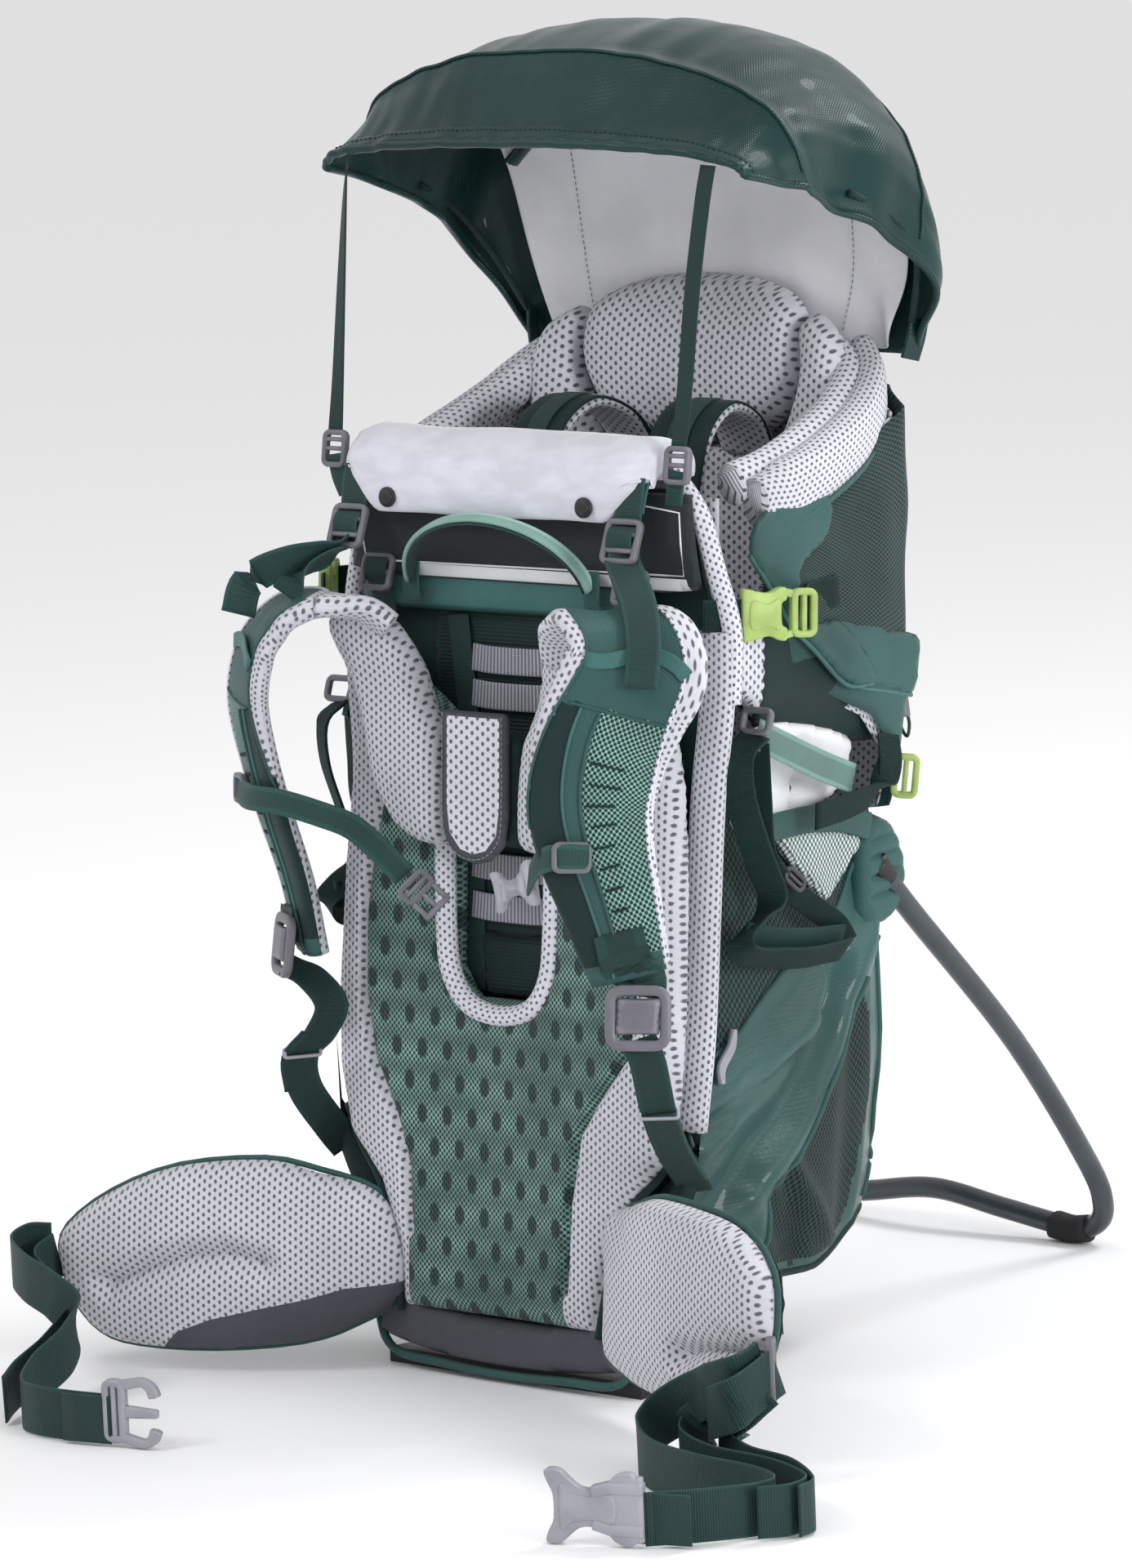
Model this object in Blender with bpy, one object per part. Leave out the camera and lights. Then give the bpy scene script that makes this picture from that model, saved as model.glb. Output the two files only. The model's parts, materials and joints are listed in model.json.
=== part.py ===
"""Baby carrier backpack: frame, back system, harness, seat, sun canopy and kickstand as separate parts.

Everything is described in the pack's own frame (X to the wearer's side, Y to the back, Z up) and hangs
from one empty that leans the pack back, so that the base skid and the kickstand feet stand on the floor.
"""
import bpy
import bmesh
from math import cos, pi, radians, sin, tan
from mathutils import Vector

# Driving dimensions, in metres and degrees
LEAN = radians(4.0)             # the standing pack leans back on its kickstand
GAP = 0.0003                    # clearance between pieces that touch
STAY_X = 0.118                  # half distance between the two back stays
STAY_Y = 0.020
STAY_RADIUS = 0.007
BAR_Z = 0.706                   # top bar under the chin pad
BAR_Y = 0.0115
BAR_RADIUS = 0.008
BAR_HALF = 0.142
BACK_MESH_Y = (-0.030, -0.001)  # front and rear face of the mesh back
NOTCH_HALF = 0.047              # centre channel of the mesh back, where the harness slides
NOTCH_BOTTOM = 0.300
YOKE_Y = (-0.054, -0.031)
BAG_HALF = 0.140
STRUT_X = 0.158
HUB_POINT = (0.245, 0.392)      # kickstand axis, Y and Z
LEG_X = 0.172
LEG_RADIUS = 0.009
PIN_RADIUS = 0.005
WING_ANGLE = radians(26.0)      # the hip wings point forward of sideways
WING_ROOT = (0.094, -0.034)
WING_HINGE = (0.118, -0.034)
WING_THICK = 0.026
CANOPY_AXIS = (0.272, 0.800)    # canopy fold axis, Y and Z
STRAP_THICK = 0.018
STRAP_ACROSS = (0.80, 0.60, 0.0)    # width direction of the right shoulder strap
STRAP_BUCKLE = {"left": (-0.172, -0.081, 0.338), "right": (0.2035, -0.1170, 0.318)}
WEB_HIP = 0.040
WEB_THICK = 0.0022
STIRRUP_AXIS = (0.205, 0.030, 0.528)
HANDLE_HALF = 0.088
SEAT_Z = 0.470
SIDES = (("left", -1), ("right", 1))

COLOURS = {
    "dark_green": (0.012, 0.050, 0.045),
    "mid_green": (0.070, 0.170, 0.145),
    "mint": (0.300, 0.500, 0.440),
    "grey_mesh": (0.560, 0.560, 0.620),
    "anthracite": (0.060, 0.060, 0.075),
    "grey_plastic": (0.160, 0.155, 0.175),
    "silver_plastic": (0.370, 0.370, 0.400),
    "lime": (0.640, 0.850, 0.290),
    "black": (0.010, 0.010, 0.012),
    "tube": (0.048, 0.058, 0.066),
    "alloy": (0.420, 0.430, 0.450),
}


def clear_scene():
    for item in list(bpy.data.objects):
        bpy.data.objects.remove(item, do_unlink=True)


def material_for(name, colour, roughness, metallic):
    material = bpy.data.materials.new(name + "_finish")
    material.use_nodes = True
    shader = material.node_tree.nodes["Principled BSDF"]
    shader.inputs["Base Color"].default_value = (*COLOURS[colour], 1.0)
    shader.inputs["Roughness"].default_value = roughness
    shader.inputs["Metallic"].default_value = metallic
    return material


class Build:
    """Makes named objects from pack-frame geometry, all leaning with one empty."""

    def __init__(self):
        self.lean = bpy.data.objects.new("pack_lean", None)
        bpy.context.collection.objects.link(self.lean)
        self.lean.rotation_euler = (-LEAN, 0.0, 0.0)

    def add(self, name, vertices, faces, finish, pivot=(0, 0, 0), smooth=False):
        """One sub-part; pivot is its origin, which is a moving piece's joint axis."""
        pivot = Vector(pivot)
        mesh = bpy.data.meshes.new(name)
        mesh.from_pydata([Vector(point) - pivot for point in vertices], [], faces)
        bm = bmesh.new()
        bm.from_mesh(mesh)
        bmesh.ops.recalc_face_normals(bm, faces=bm.faces)
        for face in bm.faces:
            face.smooth = smooth
        bm.to_mesh(mesh)
        bm.free()
        item = bpy.data.objects.new(name, mesh)
        bpy.context.collection.objects.link(item)
        item.parent = self.lean
        item.location = pivot
        item.data.materials.append(material_for(name, *finish))
        return item


def fabric(colour):
    return (colour, 0.85, 0.0)


def plastic(colour):
    return (colour, 0.45, 0.0)


def curve_between(a, b, c, d, t):
    """Point at share t between b and c on the smooth curve through four points."""
    bend = 2 * a - 5 * b + 4 * c - d
    twist = 3 * b - a - 3 * c + d
    return 0.5 * (2 * b + (c - a) * t + bend * t ** 2 + twist * t ** 3)


def smooth_path(points, steps=4):
    """Catmull-Rom curve through the points."""
    points = [Vector(point) for point in points]
    ends = [2 * points[0] - points[1]] + points + [2 * points[-1] - points[-2]]
    path = []
    for a, b, c, d in zip(ends, ends[1:], ends[2:], ends[3:]):
        for step in range(steps):
            t = step / steps
            path.append(curve_between(a, b, c, d, t))
    path.append(points[-1])
    return path


def tangents(path):
    ahead = path[1:] + [path[-1]]
    behind = [path[0]] + path[:-1]
    return [(b - a).normalized() for a, b in zip(behind, ahead)]


def loft(rings):
    """Skin closed rings of equal count, with capped ends."""
    count = len(rings[0])
    vertices = [point for ring in rings for point in ring]
    faces = []
    for row in range(len(rings) - 1):
        for k in range(count):
            n = (k + 1) % count
            a = row * count
            faces.append((a + k, a + n, a + count + n, a + count + k))
    faces.append(tuple(range(count))[::-1])
    last = (len(rings) - 1) * count
    faces.append(tuple(last + k for k in range(count)))
    return vertices, faces


def circle(radius, sides=8, squash=1.0):
    return [(radius * cos(2 * pi * k / sides), radius * squash * sin(2 * pi * k / sides))
            for k in range(sides)]


def rectangle(width, height):
    w, h = width / 2, height / 2
    return [(-w, -h), (w, -h), (w, h), (-w, h)]


def pad_section(width, height):
    """Flat pad with rounded edges."""
    w, h = width / 2, height / 2
    return [(-w, 0), (-w * 0.85, -h), (w * 0.85, -h), (w, 0), (w * 0.85, h), (-w * 0.85, h)]


def sweep_sections(path, sections, across):
    """Carry one section per point along a path; its first axis stays near the direction across."""
    path = [Vector(point) for point in path]
    rings = []
    for point, tangent, section in zip(path, tangents(path), sections):
        side = Vector(across)
        side = (side - tangent * side.dot(tangent)).normalized()
        normal = tangent.cross(side)
        rings.append([point + side * a + normal * b for a, b in section])
    return loft(rings)


def sweep(path, section, across):
    return sweep_sections(path, [section] * len(path), across)


def prism(outline, origin, u, v, depth):
    """Extrude an outline given in the plane of u and v along their cross product."""
    origin, u, v = Vector(origin), Vector(u), Vector(v)
    normal = u.cross(v).normalized()
    near = [origin + u * a + v * b for a, b in outline]
    far = [point + normal * depth for point in near]
    return loft([near, far])


def front_slab(outline, y_front, y_back):
    """Panel in the X-Z plane between two Y values."""
    near = [Vector((x, y_front, z)) for x, z in outline]
    far = [Vector((x, y_back, z)) for x, z in outline]
    return loft([near, far])


def box_outline(x0, x1, z0, z1, corner=0.0):
    if corner == 0.0:
        return [(x0, z0), (x1, z0), (x1, z1), (x0, z1)]
    return [(x0 + corner, z0), (x1 - corner, z0), (x1, z0 + corner), (x1, z1 - corner),
            (x1 - corner, z1), (x0 + corner, z1), (x0, z1 - corner), (x0, z0 + corner)]


# ---------------------------------------------------------------- frame

def build_frame(b):
    bar = circle(BAR_RADIUS, 10)
    b.add("top_bar", *sweep([(-BAR_HALF, BAR_Y, BAR_Z), (BAR_HALF, BAR_Y, BAR_Z)], bar, (0, 1, 0)),
          ("alloy", 0.35, 0.9), smooth=True)
    foot_z = 0.024
    b.add("base_bar", *sweep([(-STAY_X - 0.02, STAY_Y, foot_z), (STAY_X + 0.02, STAY_Y, foot_z)],
                             circle(STAY_RADIUS), (0, 1, 0)), ("alloy", 0.35, 0.9), smooth=True)
    for side, s in SIDES:
        low = foot_z + STAY_RADIUS + GAP
        high = BAR_Z - BAR_RADIUS - GAP
        path = smooth_path([(s * STAY_X, STAY_Y, low), (s * STAY_X, STAY_Y, 0.40),
                            (s * STAY_X, STAY_Y - 0.004, 0.60), (s * STAY_X, BAR_Y, high)], 3)
        b.add("back_stay_" + side, *sweep(path, circle(STAY_RADIUS), (1, 0, 0)),
              ("alloy", 0.35, 0.9), smooth=True)
        strut = [(s * STRUT_X, 0.036, 0.570), (s * STRUT_X, 0.120, 0.500), (s * STRUT_X, 0.185, 0.400),
                 (s * STRUT_X, 0.170, 0.260), (s * STRUT_X, 0.105, 0.130), (s * STRUT_X, 0.036, 0.052)]
        b.add("side_strut_" + side, *sweep(smooth_path(strut, 3), circle(0.006), (1, 0, 0)),
              ("alloy", 0.35, 0.9), smooth=True)
    build_skid(b)


def build_skid(b):
    """Moulded skid under the front edge; its underside is level with the floor."""
    item = b.add("base_skid", *loft([[Vector((x, y, z)) for y, z in
                                      ((-0.006, 0.0), (0.042, 0.0), (0.042, 0.008), (-0.006, 0.012))]
                                     for x in (-0.125, 0.125)]), plastic("black"))
    item.rotation_euler = (LEAN, 0.0, 0.0)


def build_kickstand(b):
    hub_y, hub_z = HUB_POINT
    pivot = (0, hub_y, hub_z)
    half = [(LEG_X, hub_y, hub_z), (LEG_X, 0.288, 0.355), (LEG_X, 0.437, 0.234), (LEG_X, 0.548, 0.120),
            (LEG_X, 0.574, 0.080), (0.160, 0.583, 0.060), (0.135, 0.582, 0.0545), (0.070, 0.578, 0.064),
            (0.0, 0.576, 0.074)]
    left = [(-x, y, z) for x, y, z in reversed(half[:-1])]
    b.add("kickstand_tube", *tube_along(smooth_path(half + left, 3), LEG_RADIUS, 10),
          ("tube", 0.38, 0.55), pivot, smooth=True)
    for side, s in SIDES:
        foot_pad(b, side, s, pivot)
        b.add("kickstand_hub_" + side, *washer((s * 0.148, hub_y, hub_z), (s * 0.160, hub_y, hub_z),
                                               PIN_RADIUS + GAP, 0.020), plastic("black"))
        inner, outer = s * 0.1425, s * (LEG_X - LEG_RADIUS - GAP)
        b.add("pivot_pin_" + side, *sweep([(inner, hub_y, hub_z), (outer, hub_y, hub_z)],
                                          circle(PIN_RADIUS, 12), (0, 1, 0)), ("alloy", 0.3, 1.0),
              pivot, smooth=True)


def foot_pad(b, side, s, pivot):
    """Rubber pad between the tube and the floor."""
    x0, x1 = s * 0.120, s * 0.150
    y0, y1 = 0.570, 0.595
    top = 0.0545 - LEG_RADIUS - 0.0008
    rings = [[Vector((x, y0, y0 * tan(LEAN))), Vector((x, y1, y1 * tan(LEAN))),
              Vector((x, y1, top)), Vector((x, y0, top))] for x in (x0, x1)]
    b.add("foot_pad_" + side, *loft(rings), ("black", 0.9, 0.0), pivot)


def tube_along(path, radius, sides):
    """Round tube that follows a path without twisting."""
    path = [Vector(point) for point in path]
    directions = tangents(path)
    side = directions[0].orthogonal().normalized()
    rings = []
    for point, tangent in zip(path, directions):
        side = (side - tangent * side.dot(tangent)).normalized()
        normal = tangent.cross(side)
        rings.append([point + side * a + normal * c for a, c in circle(radius, sides)])
    return loft(rings)


def washer(start, end, inner, outer, sides=20):
    """Ring with a through hole, between two points on an X axis."""
    vertices, faces = [], []
    for centre in (start, end):
        for radius in (inner, outer):
            for k in range(sides):
                angle = 2 * pi * k / sides
                vertices.append((centre[0], centre[1] + radius * cos(angle), centre[2] + radius * sin(angle)))
    for k in range(sides):
        n = (k + 1) % sides
        a, c, d, e = 0, sides, 2 * sides, 3 * sides
        faces += [(a + k, a + n, c + n, c + k), (d + k, e + k, e + n, d + n),
                  (a + k, d + k, d + n, a + n), (c + k, c + n, e + n, e + k)]
    return vertices, faces


# ---------------------------------------------------------------- back system

def build_back(b):
    right = [(0.130, 0.020), (0.134, 0.090), (0.150, 0.150), (0.172, 0.190), (0.180, 0.280),
             (0.184, 0.460), (0.194, 0.590), (0.176, 0.640), (0.166, 0.690)]
    left = [(-0.152, 0.690), (-0.154, 0.640), (-0.156, 0.590), (-0.160, 0.460), (-0.172, 0.280),
            (-0.170, 0.190), (-0.150, 0.150), (-0.134, 0.090), (-0.130, 0.020)]
    b.add("back_plate", *front_slab(right + left, 0.0, 0.0040), fabric("dark_green"))
    build_mesh_back(b)
    build_ladder(b)


def build_mesh_back(b):
    """Two side runs joined below the notch, in which the harness slides."""
    right = [(0.092, 0.0475), (0.104, 0.100), (0.120, 0.150), (0.168, 0.195), (0.174, 0.300),
             (0.176, 0.400), (0.172, 0.480), (0.130, 0.520), (0.080, 0.500), (NOTCH_HALF, 0.470),
             (NOTCH_HALF, NOTCH_BOTTOM + 0.02), (NOTCH_HALF - 0.02, NOTCH_BOTTOM)]
    left = [(-x, z) for x, z in reversed(right[9:])]
    left += [(-0.080, 0.500), (-0.130, 0.520), (-0.152, 0.480), (-0.157, 0.400), (-0.163, 0.300),
             (-0.164, 0.195), (-0.120, 0.150), (-0.104, 0.100), (-0.092, 0.0475)]
    b.add("back_mesh", *front_slab(right + left, *BACK_MESH_Y), fabric("grey_mesh"))


def build_ladder(b):
    """Webbing ladder of the height adjustment: a flat strip with four raised rungs."""
    rear, plain, raised, half_rung = -0.0005, -0.0020, -0.0035, 0.011
    profile = [(rear, 0.330), (plain, 0.330)]
    for z in (0.374, 0.406, 0.540, 0.568):
        low, high = z - half_rung, z + half_rung
        profile += [(plain, low), (raised, low), (raised, high), (plain, high)]
    profile += [(plain, 0.600), (rear, 0.600)]
    rings = [[Vector((x, y, z)) for y, z in profile] for x in (-0.042, 0.042)]
    b.add("harness_ladder", *loft(rings), fabric("anthracite"))


def build_handle(b):
    z = 0.626
    arc = [(HANDLE_HALF * cos(pi * k / 12), -0.024 - 0.031 * sin(pi * k / 12), z + 0.055 * sin(pi * k / 12))
           for k in range(13)]
    b.add("grab_handle", *sweep(arc, pad_section(0.020, 0.005), (0, 1, 0.25)), fabric("mint"),
          (0, -0.024, z), smooth=True)


def build_chin_pad(b):
    """Soft sleeve over the top bar whose front flap hangs down onto the panel."""
    inner = BAR_RADIUS + 0.0015
    arc = [radians(180 - 32 * k) for k in range(6)]
    sleeve = [(BAR_Y + inner * cos(a), BAR_Z + inner * sin(a)) for a in arc]
    rings = []
    for x, rise, front in ((-0.148, 0.022, 0.008), (-0.117, 0.022, 0.007), (-0.109, 0.0, 0.0),
                           (0.109, 0.0, 0.0), (0.117, 0.022, 0.007), (0.148, 0.022, 0.008)):
        profile = [(0.034, 0.7145), (0.031, 0.728), (0.018, 0.741), (-0.004, 0.746), (-0.024, 0.740),
                   (-0.039 + front, 0.726), (-0.044 + front, 0.712), (-0.041 + front, 0.682 + rise),
                   (-0.033 + front, 0.681 + rise), (-0.024, 0.704)] + sleeve
        rings.append([Vector((x, y, z)) for y, z in profile])
    b.add("chin_pad", *loft(rings), fabric("grey_mesh"), (0, BAR_Y, BAR_Z), smooth=True)


# ---------------------------------------------------------------- harness

def build_harness(b):
    yoke = [(0.040, 0.424), (0.075, 0.430), (0.100, 0.470), (0.112, 0.540), (0.140, 0.590), (0.130, 0.606),
            (0.095, 0.603), (0.060, 0.575), (0.0485, 0.520)]
    mirrored = [(-x, z) for x, z in reversed(yoke)]
    outline = yoke + [(0.0, 0.519)] + mirrored + [(0.0, 0.425)]
    b.add("yoke_pad", *front_slab(outline, *YOKE_Y), fabric("grey_mesh"))
    bottom = [(-0.034 * cos(pi * k / 8), 0.444 - 0.030 * sin(pi * k / 8)) for k in range(9)]
    tongue = [(-0.034, 0.532)] + bottom + [(0.034, 0.532)]
    b.add("adjuster_tongue", *front_slab(tongue, -0.0590, -0.0545), fabric("grey_mesh"))
    for side, s in SIDES:
        build_shoulder_strap(b, side, s)


def strap_route(side):
    """Centre line and width of a shoulder strap, from the yoke over the shoulder to its buckle."""
    if side == "right":
        return [(0.120, -0.083, 0.598, 0.050), (0.148, -0.092, 0.610, 0.064), (0.176, -0.098, 0.602, 0.088),
                (0.190, -0.103, 0.580, 0.098), (0.183, -0.112, 0.555, 0.098), (0.172, -0.122, 0.520, 0.092),
                (0.168, -0.129, 0.480, 0.088), (0.174, -0.130, 0.443, 0.086), (0.183, -0.125, 0.406, 0.074),
                (0.193, -0.112, 0.352, 0.060)]
    return [(-0.120, -0.083, 0.598, 0.050), (-0.142, -0.088, 0.608, 0.060), (-0.165, -0.092, 0.598, 0.082),
            (-0.185, -0.096, 0.572, 0.092), (-0.193, -0.098, 0.535, 0.092), (-0.184, -0.097, 0.490, 0.088),
            (-0.172, -0.089, 0.440, 0.084), (-0.163, -0.075, 0.390, 0.072), (-0.158, -0.064, 0.345, 0.060)]


def build_shoulder_strap(b, side, s):
    route = strap_route(side)
    path = smooth_path([point[:3] for point in route], 4)
    widths = smooth_path([(width, 0.0, 0.0) for *_, width in route], 4)
    sections = [pad_section(width.x, STRAP_THICK) for width in widths]
    across = (s * STRAP_ACROSS[0], STRAP_ACROSS[1], 0.0)
    b.add("shoulder_strap_" + side, *sweep_sections(path, sections, across), fabric("mid_green"), smooth=True)
    buckle = Vector(STRAP_BUCKLE[side])
    hinge = buckle + Vector((0.0, 0.0025, 0.021))
    b.add("strap_buckle_" + side, *frame_buckle(buckle, across, (0.0, 0.12, 1.0), 0.048, 0.048, 0.006),
          plastic("grey_plastic"), hinge)
    lock = (s * 0.134, -0.047, 0.668)
    b.add("ladder_lock_" + side, *frame_buckle(lock, (1, 0, 0), (0, 0.35, 1), 0.034, 0.036, 0.006),
          plastic("grey_plastic"), (s * 0.134, -0.042, 0.682))


def frame_buckle(centre, across, up, width, height, thick, bar=0.006):
    """Rectangular buckle: an open frame with one opening, as one closed ring."""
    centre, across, up = Vector(centre), Vector(across).normalized(), Vector(up).normalized()
    up = (up - across * up.dot(across)).normalized()
    normal = across.cross(up)
    vertices, faces = [], []
    for depth in (-thick / 2, thick / 2):
        for grow in (0.0, -bar):
            for a, c in ((-1, -1), (1, -1), (1, 1), (-1, 1)):
                vertices.append(centre + across * a * (width / 2 + grow) + up * c * (height / 2 + grow)
                                + normal * depth)
    for k in range(4):
        n = (k + 1) % 4
        faces += [(k, n, 4 + n, 4 + k), (8 + k, 12 + k, 12 + n, 8 + n), (k, 8 + k, 8 + n, n),
                  (4 + k, 4 + n, 12 + n, 12 + k)]
    return vertices, faces


def build_sternum(b):
    """Slider on each shoulder strap, and the half buckle that hangs from its webbing."""
    sliders = {"left": (-0.2080, -0.0902, 0.460), "right": (0.1690, -0.1540, 0.440)}
    buckles = {"left": ((-0.034, -0.082, 0.392), (0.48, 0.52, 0.72), (0.63, 0.36, -0.68)),
               "right": ((0.100, -0.134, 0.410), (0.0, 0.0, 1.0), (1.0, -0.1, 0.3))}
    for side, s in SIDES:
        across = (s * STRAP_ACROSS[0], STRAP_ACROSS[1], 0.0)
        b.add("sternum_slider_" + side,
              *frame_buckle(sliders[side], across, (0, 0, 1), 0.030, 0.016, 0.005, 0.004),
              plastic("grey_plastic"))
        centre, wide, ahead = buckles[side]
        b.add("sternum_buckle_" + side, *frame_buckle(centre, wide, ahead, 0.030, 0.036, 0.007, 0.005),
              plastic("silver_plastic"))


# ---------------------------------------------------------------- hip belt

def wing_basis(s):
    origin = Vector((s * WING_ROOT[0], WING_ROOT[1], 0.0))
    along = Vector((s * cos(WING_ANGLE), -sin(WING_ANGLE), 0.0))
    return origin, along


def wing_outline(s):
    """Outline in distance from the root and height; the right wing tip rides a little higher."""
    lift = 0.028 if s > 0 else 0.0
    base = [(0.034, 0.036), (0.034, 0.147), (0.062, 0.158), (0.110, 0.166), (0.180, 0.156), (0.245, 0.128),
            (0.284, 0.098), (0.276, 0.060), (0.258, 0.026), (0.228, 0.012), (0.150, 0.009), (0.070, 0.020)]
    return [(u, v + lift * u / 0.28) for u, v in base]


def build_hip_belt(b):
    for side, s in SIDES:
        origin, along = wing_basis(s)
        vertices, faces = prism(wing_outline(s), origin, along, (0, 0, 1), -s * WING_THICK)
        hinge = (s * WING_HINGE[0], WING_HINGE[1], 0.09)
        b.add("hip_wing_" + side, vertices, faces, fabric("grey_mesh"), hinge)
        build_hip_strap(b, side)


def hip_strap_route(side):
    """Route of the loose hip webbing, standing on its edge on the floor; world coordinates."""
    if side == "right":
        return [(0.352, -0.154, 0.090), (0.344, -0.178, 0.082), (0.314, -0.172, 0.070),
                (0.286, -0.156, 0.056), (0.264, -0.166, 0.040), (0.262, -0.190, 0.028),
                (0.290, -0.214, 0.0215), (0.345, -0.232, 0.0215), (0.400, -0.238, 0.0215),
                (0.430, -0.252, 0.0215), (0.430, -0.274, 0.0215), (0.404, -0.308, 0.0215),
                (0.376, -0.336, 0.0215)]
    return [(-0.352, -0.148, 0.098), (-0.367, -0.158, 0.098), (-0.362, -0.184, 0.094),
            (-0.332, -0.204, 0.088), (-0.298, -0.210, 0.078), (-0.274, -0.212, 0.062),
            (-0.264, -0.234, 0.044), (-0.264, -0.272, 0.028), (-0.247, -0.306, 0.0215),
            (-0.222, -0.320, 0.0215), (-0.190, -0.320, 0.0215), (-0.156, -0.315, 0.0215)]


def hip_buckle_outline(length):
    """Waisted half buckle of the given length, from its webbing end."""
    half = [(0.04, 0.024), (0.22, 0.026), (0.42, 0.015), (0.64, 0.014), (0.84, 0.027), (1.0, 0.024)]
    return [(u * length, v) for u, v in half] + [(u * length, -v) for u, v in reversed(half)]


def build_hip_strap(b, side):
    """Loose webbing from the wing tip and the half buckle at its end, placed in world coordinates."""
    route = smooth_path(hip_strap_route(side), 4)
    strap = b.add("hip_strap_" + side, *sweep(route, rectangle(WEB_HIP, WEB_THICK), (0, 0, 1)),
                  fabric("dark_green"))
    ahead = Vector((-0.93, -0.30, 0.0) if side == "right" else (1.0, 0.22, 0.0)).normalized()
    outline = hip_buckle_outline(0.072 if side == "right" else 0.050)
    across = ahead.cross(Vector((0, 0, 1)))
    origin = Vector((route[-1].x, route[-1].y, 0.0285)) - across * 0.005
    buckle = b.add("hip_buckle_" + side, *prism(outline, origin, ahead, (0, 0, 1), 0.010),
                   plastic("silver_plastic"))
    for item in (strap, buckle):
        item.parent = None


# ---------------------------------------------------------------- bag, cockpit and seat

def build_bag(b):
    profile = [(0.036, 0.062), (0.110, 0.070), (0.225, 0.084), (0.256, 0.110), (0.262, 0.200),
               (0.256, 0.330), (0.244, 0.405), (0.225, 0.424), (0.036, 0.424)]
    rings = []
    inner = BAG_HALF - 0.014
    for x, inset in ((-BAG_HALF, 0.012), (-inner, 0.0), (inner, 0.0), (BAG_HALF, 0.012)):
        rings.append([Vector((x, y - (inset if y > 0.1 else 0.0), z)) for y, z in profile])
    b.add("lower_bag", *loft(rings), fabric("mid_green"))
    for side, s in SIDES:
        outline = [(0.010, 0.100), (0.120, 0.082), (0.205, 0.086), (0.222, 0.110), (0.224, 0.330),
                   (0.205, 0.440), (0.120, 0.440), (0.010, 0.470)]
        vertices, faces = prism(outline, (s * 0.1665, 0, 0), (0, 1, 0), (0, 0, 1), s * 0.005)
        b.add("side_panel_" + side, vertices, faces, fabric("dark_green"))


def cockpit_plan():
    """Half plan of the seat wall: X, Y, low edge and high edge."""
    return [(0.186, 0.060, 0.590, 0.664), (0.188, 0.100, 0.566, 0.670), (0.188, 0.150, 0.556, 0.684),
            (0.184, 0.200, 0.540, 0.706), (0.172, 0.240, 0.500, 0.724), (0.145, 0.262, 0.450, 0.738),
            (0.080, 0.271, 0.438, 0.752), (0.0, 0.273, 0.438, 0.756)]


def build_cockpit(b):
    half = cockpit_plan()
    full = half + [(-x, y, low, high) for x, y, low, high in reversed(half[:-1])]
    path = [Vector((x, y, 0)) for x, y, _, _ in full]
    rings = []
    for (x, y, low, high), tangent in zip(full, tangents(path)):
        outward = Vector((tangent.y, -tangent.x, 0))
        inner, outer = path[len(rings)], path[len(rings)] + outward * 0.007
        rings.append([Vector((p.x, p.y, z)) for p, z in
                      ((inner, low), (outer, low), (outer, high), (inner, high))])
    b.add("cockpit_wall", *loft(rings), fabric("mid_green"))
    half_rim = [(0.186, 0.060, 0.700), (0.188, 0.110, 0.712), (0.187, 0.160, 0.730), (0.176, 0.216, 0.762),
                (0.150, 0.254, 0.789)]
    for side, s in SIDES:
        rim = [(s * x, y, z) for x, y, z in half_rim]
        b.add("rim_pad_" + side, *sweep(smooth_path(rim, 3), pad_section(0.058, 0.024), (0, -0.25, 1)),
              fabric("grey_mesh"), smooth=True)
    head = [(-0.130, 0.680), (0.130, 0.680), (0.136, 0.800), (0.105, 0.838), (0.060, 0.853), (-0.060, 0.853),
            (-0.105, 0.838), (-0.136, 0.800)]
    b.add("head_pad", *front_slab(head, 0.228, 0.258), fabric("grey_mesh"))


def build_seat(b):
    half = [(0.105, 0.060), (0.115, 0.120), (0.105, 0.226)]
    outline = half + [(-x, y) for x, y in reversed(half)]
    near = [Vector((x, y, SEAT_Z - 0.018)) for x, y in outline]
    far = [Vector((x, y, SEAT_Z)) for x, y in outline]
    b.add("seat_pad", *loft([near, far]), fabric("grey_mesh"))
    for side, s in SIDES:
        path = [(s * 0.058, 0.219, 0.730), (s * 0.062, 0.185, 0.752), (s * 0.066, 0.140, 0.748),
                (s * 0.068, 0.110, 0.715), (s * 0.068, 0.104, 0.660), (s * 0.064, 0.110, 0.610)]
        b.add("child_strap_" + side, *sweep(smooth_path(path, 3), pad_section(0.048, 0.012), (1, 0, 0)),
              fabric("dark_green"), smooth=True)


def build_stirrups(b):
    for side, s in SIDES:
        x0 = STIRRUP_AXIS[0]
        axis = (s * x0, STIRRUP_AXIS[1], STIRRUP_AXIS[2])
        loop = [(0.034, 0.515), (0.030, 0.455), (0.022, 0.400), (0.012, 0.352), (0.030, 0.342),
                (0.090, 0.336), (0.150, 0.345), (0.128, 0.372), (0.080, 0.430), (0.044, 0.480)]
        path = smooth_path([(s * x0, y, z) for y, z in loop], 2)
        b.add("stirrup_" + side, *sweep(path, rectangle(0.020, 0.0025), (1, 0, 0)), fabric("dark_green"),
              axis)
        ring = frame_buckle((s * x0, 0.030, 0.530), (1, 0, 0), (0, 0.3, 1), 0.030, 0.022, 0.005, 0.005)
        b.add("stirrup_ring_" + side, *ring, plastic("silver_plastic"))


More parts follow.
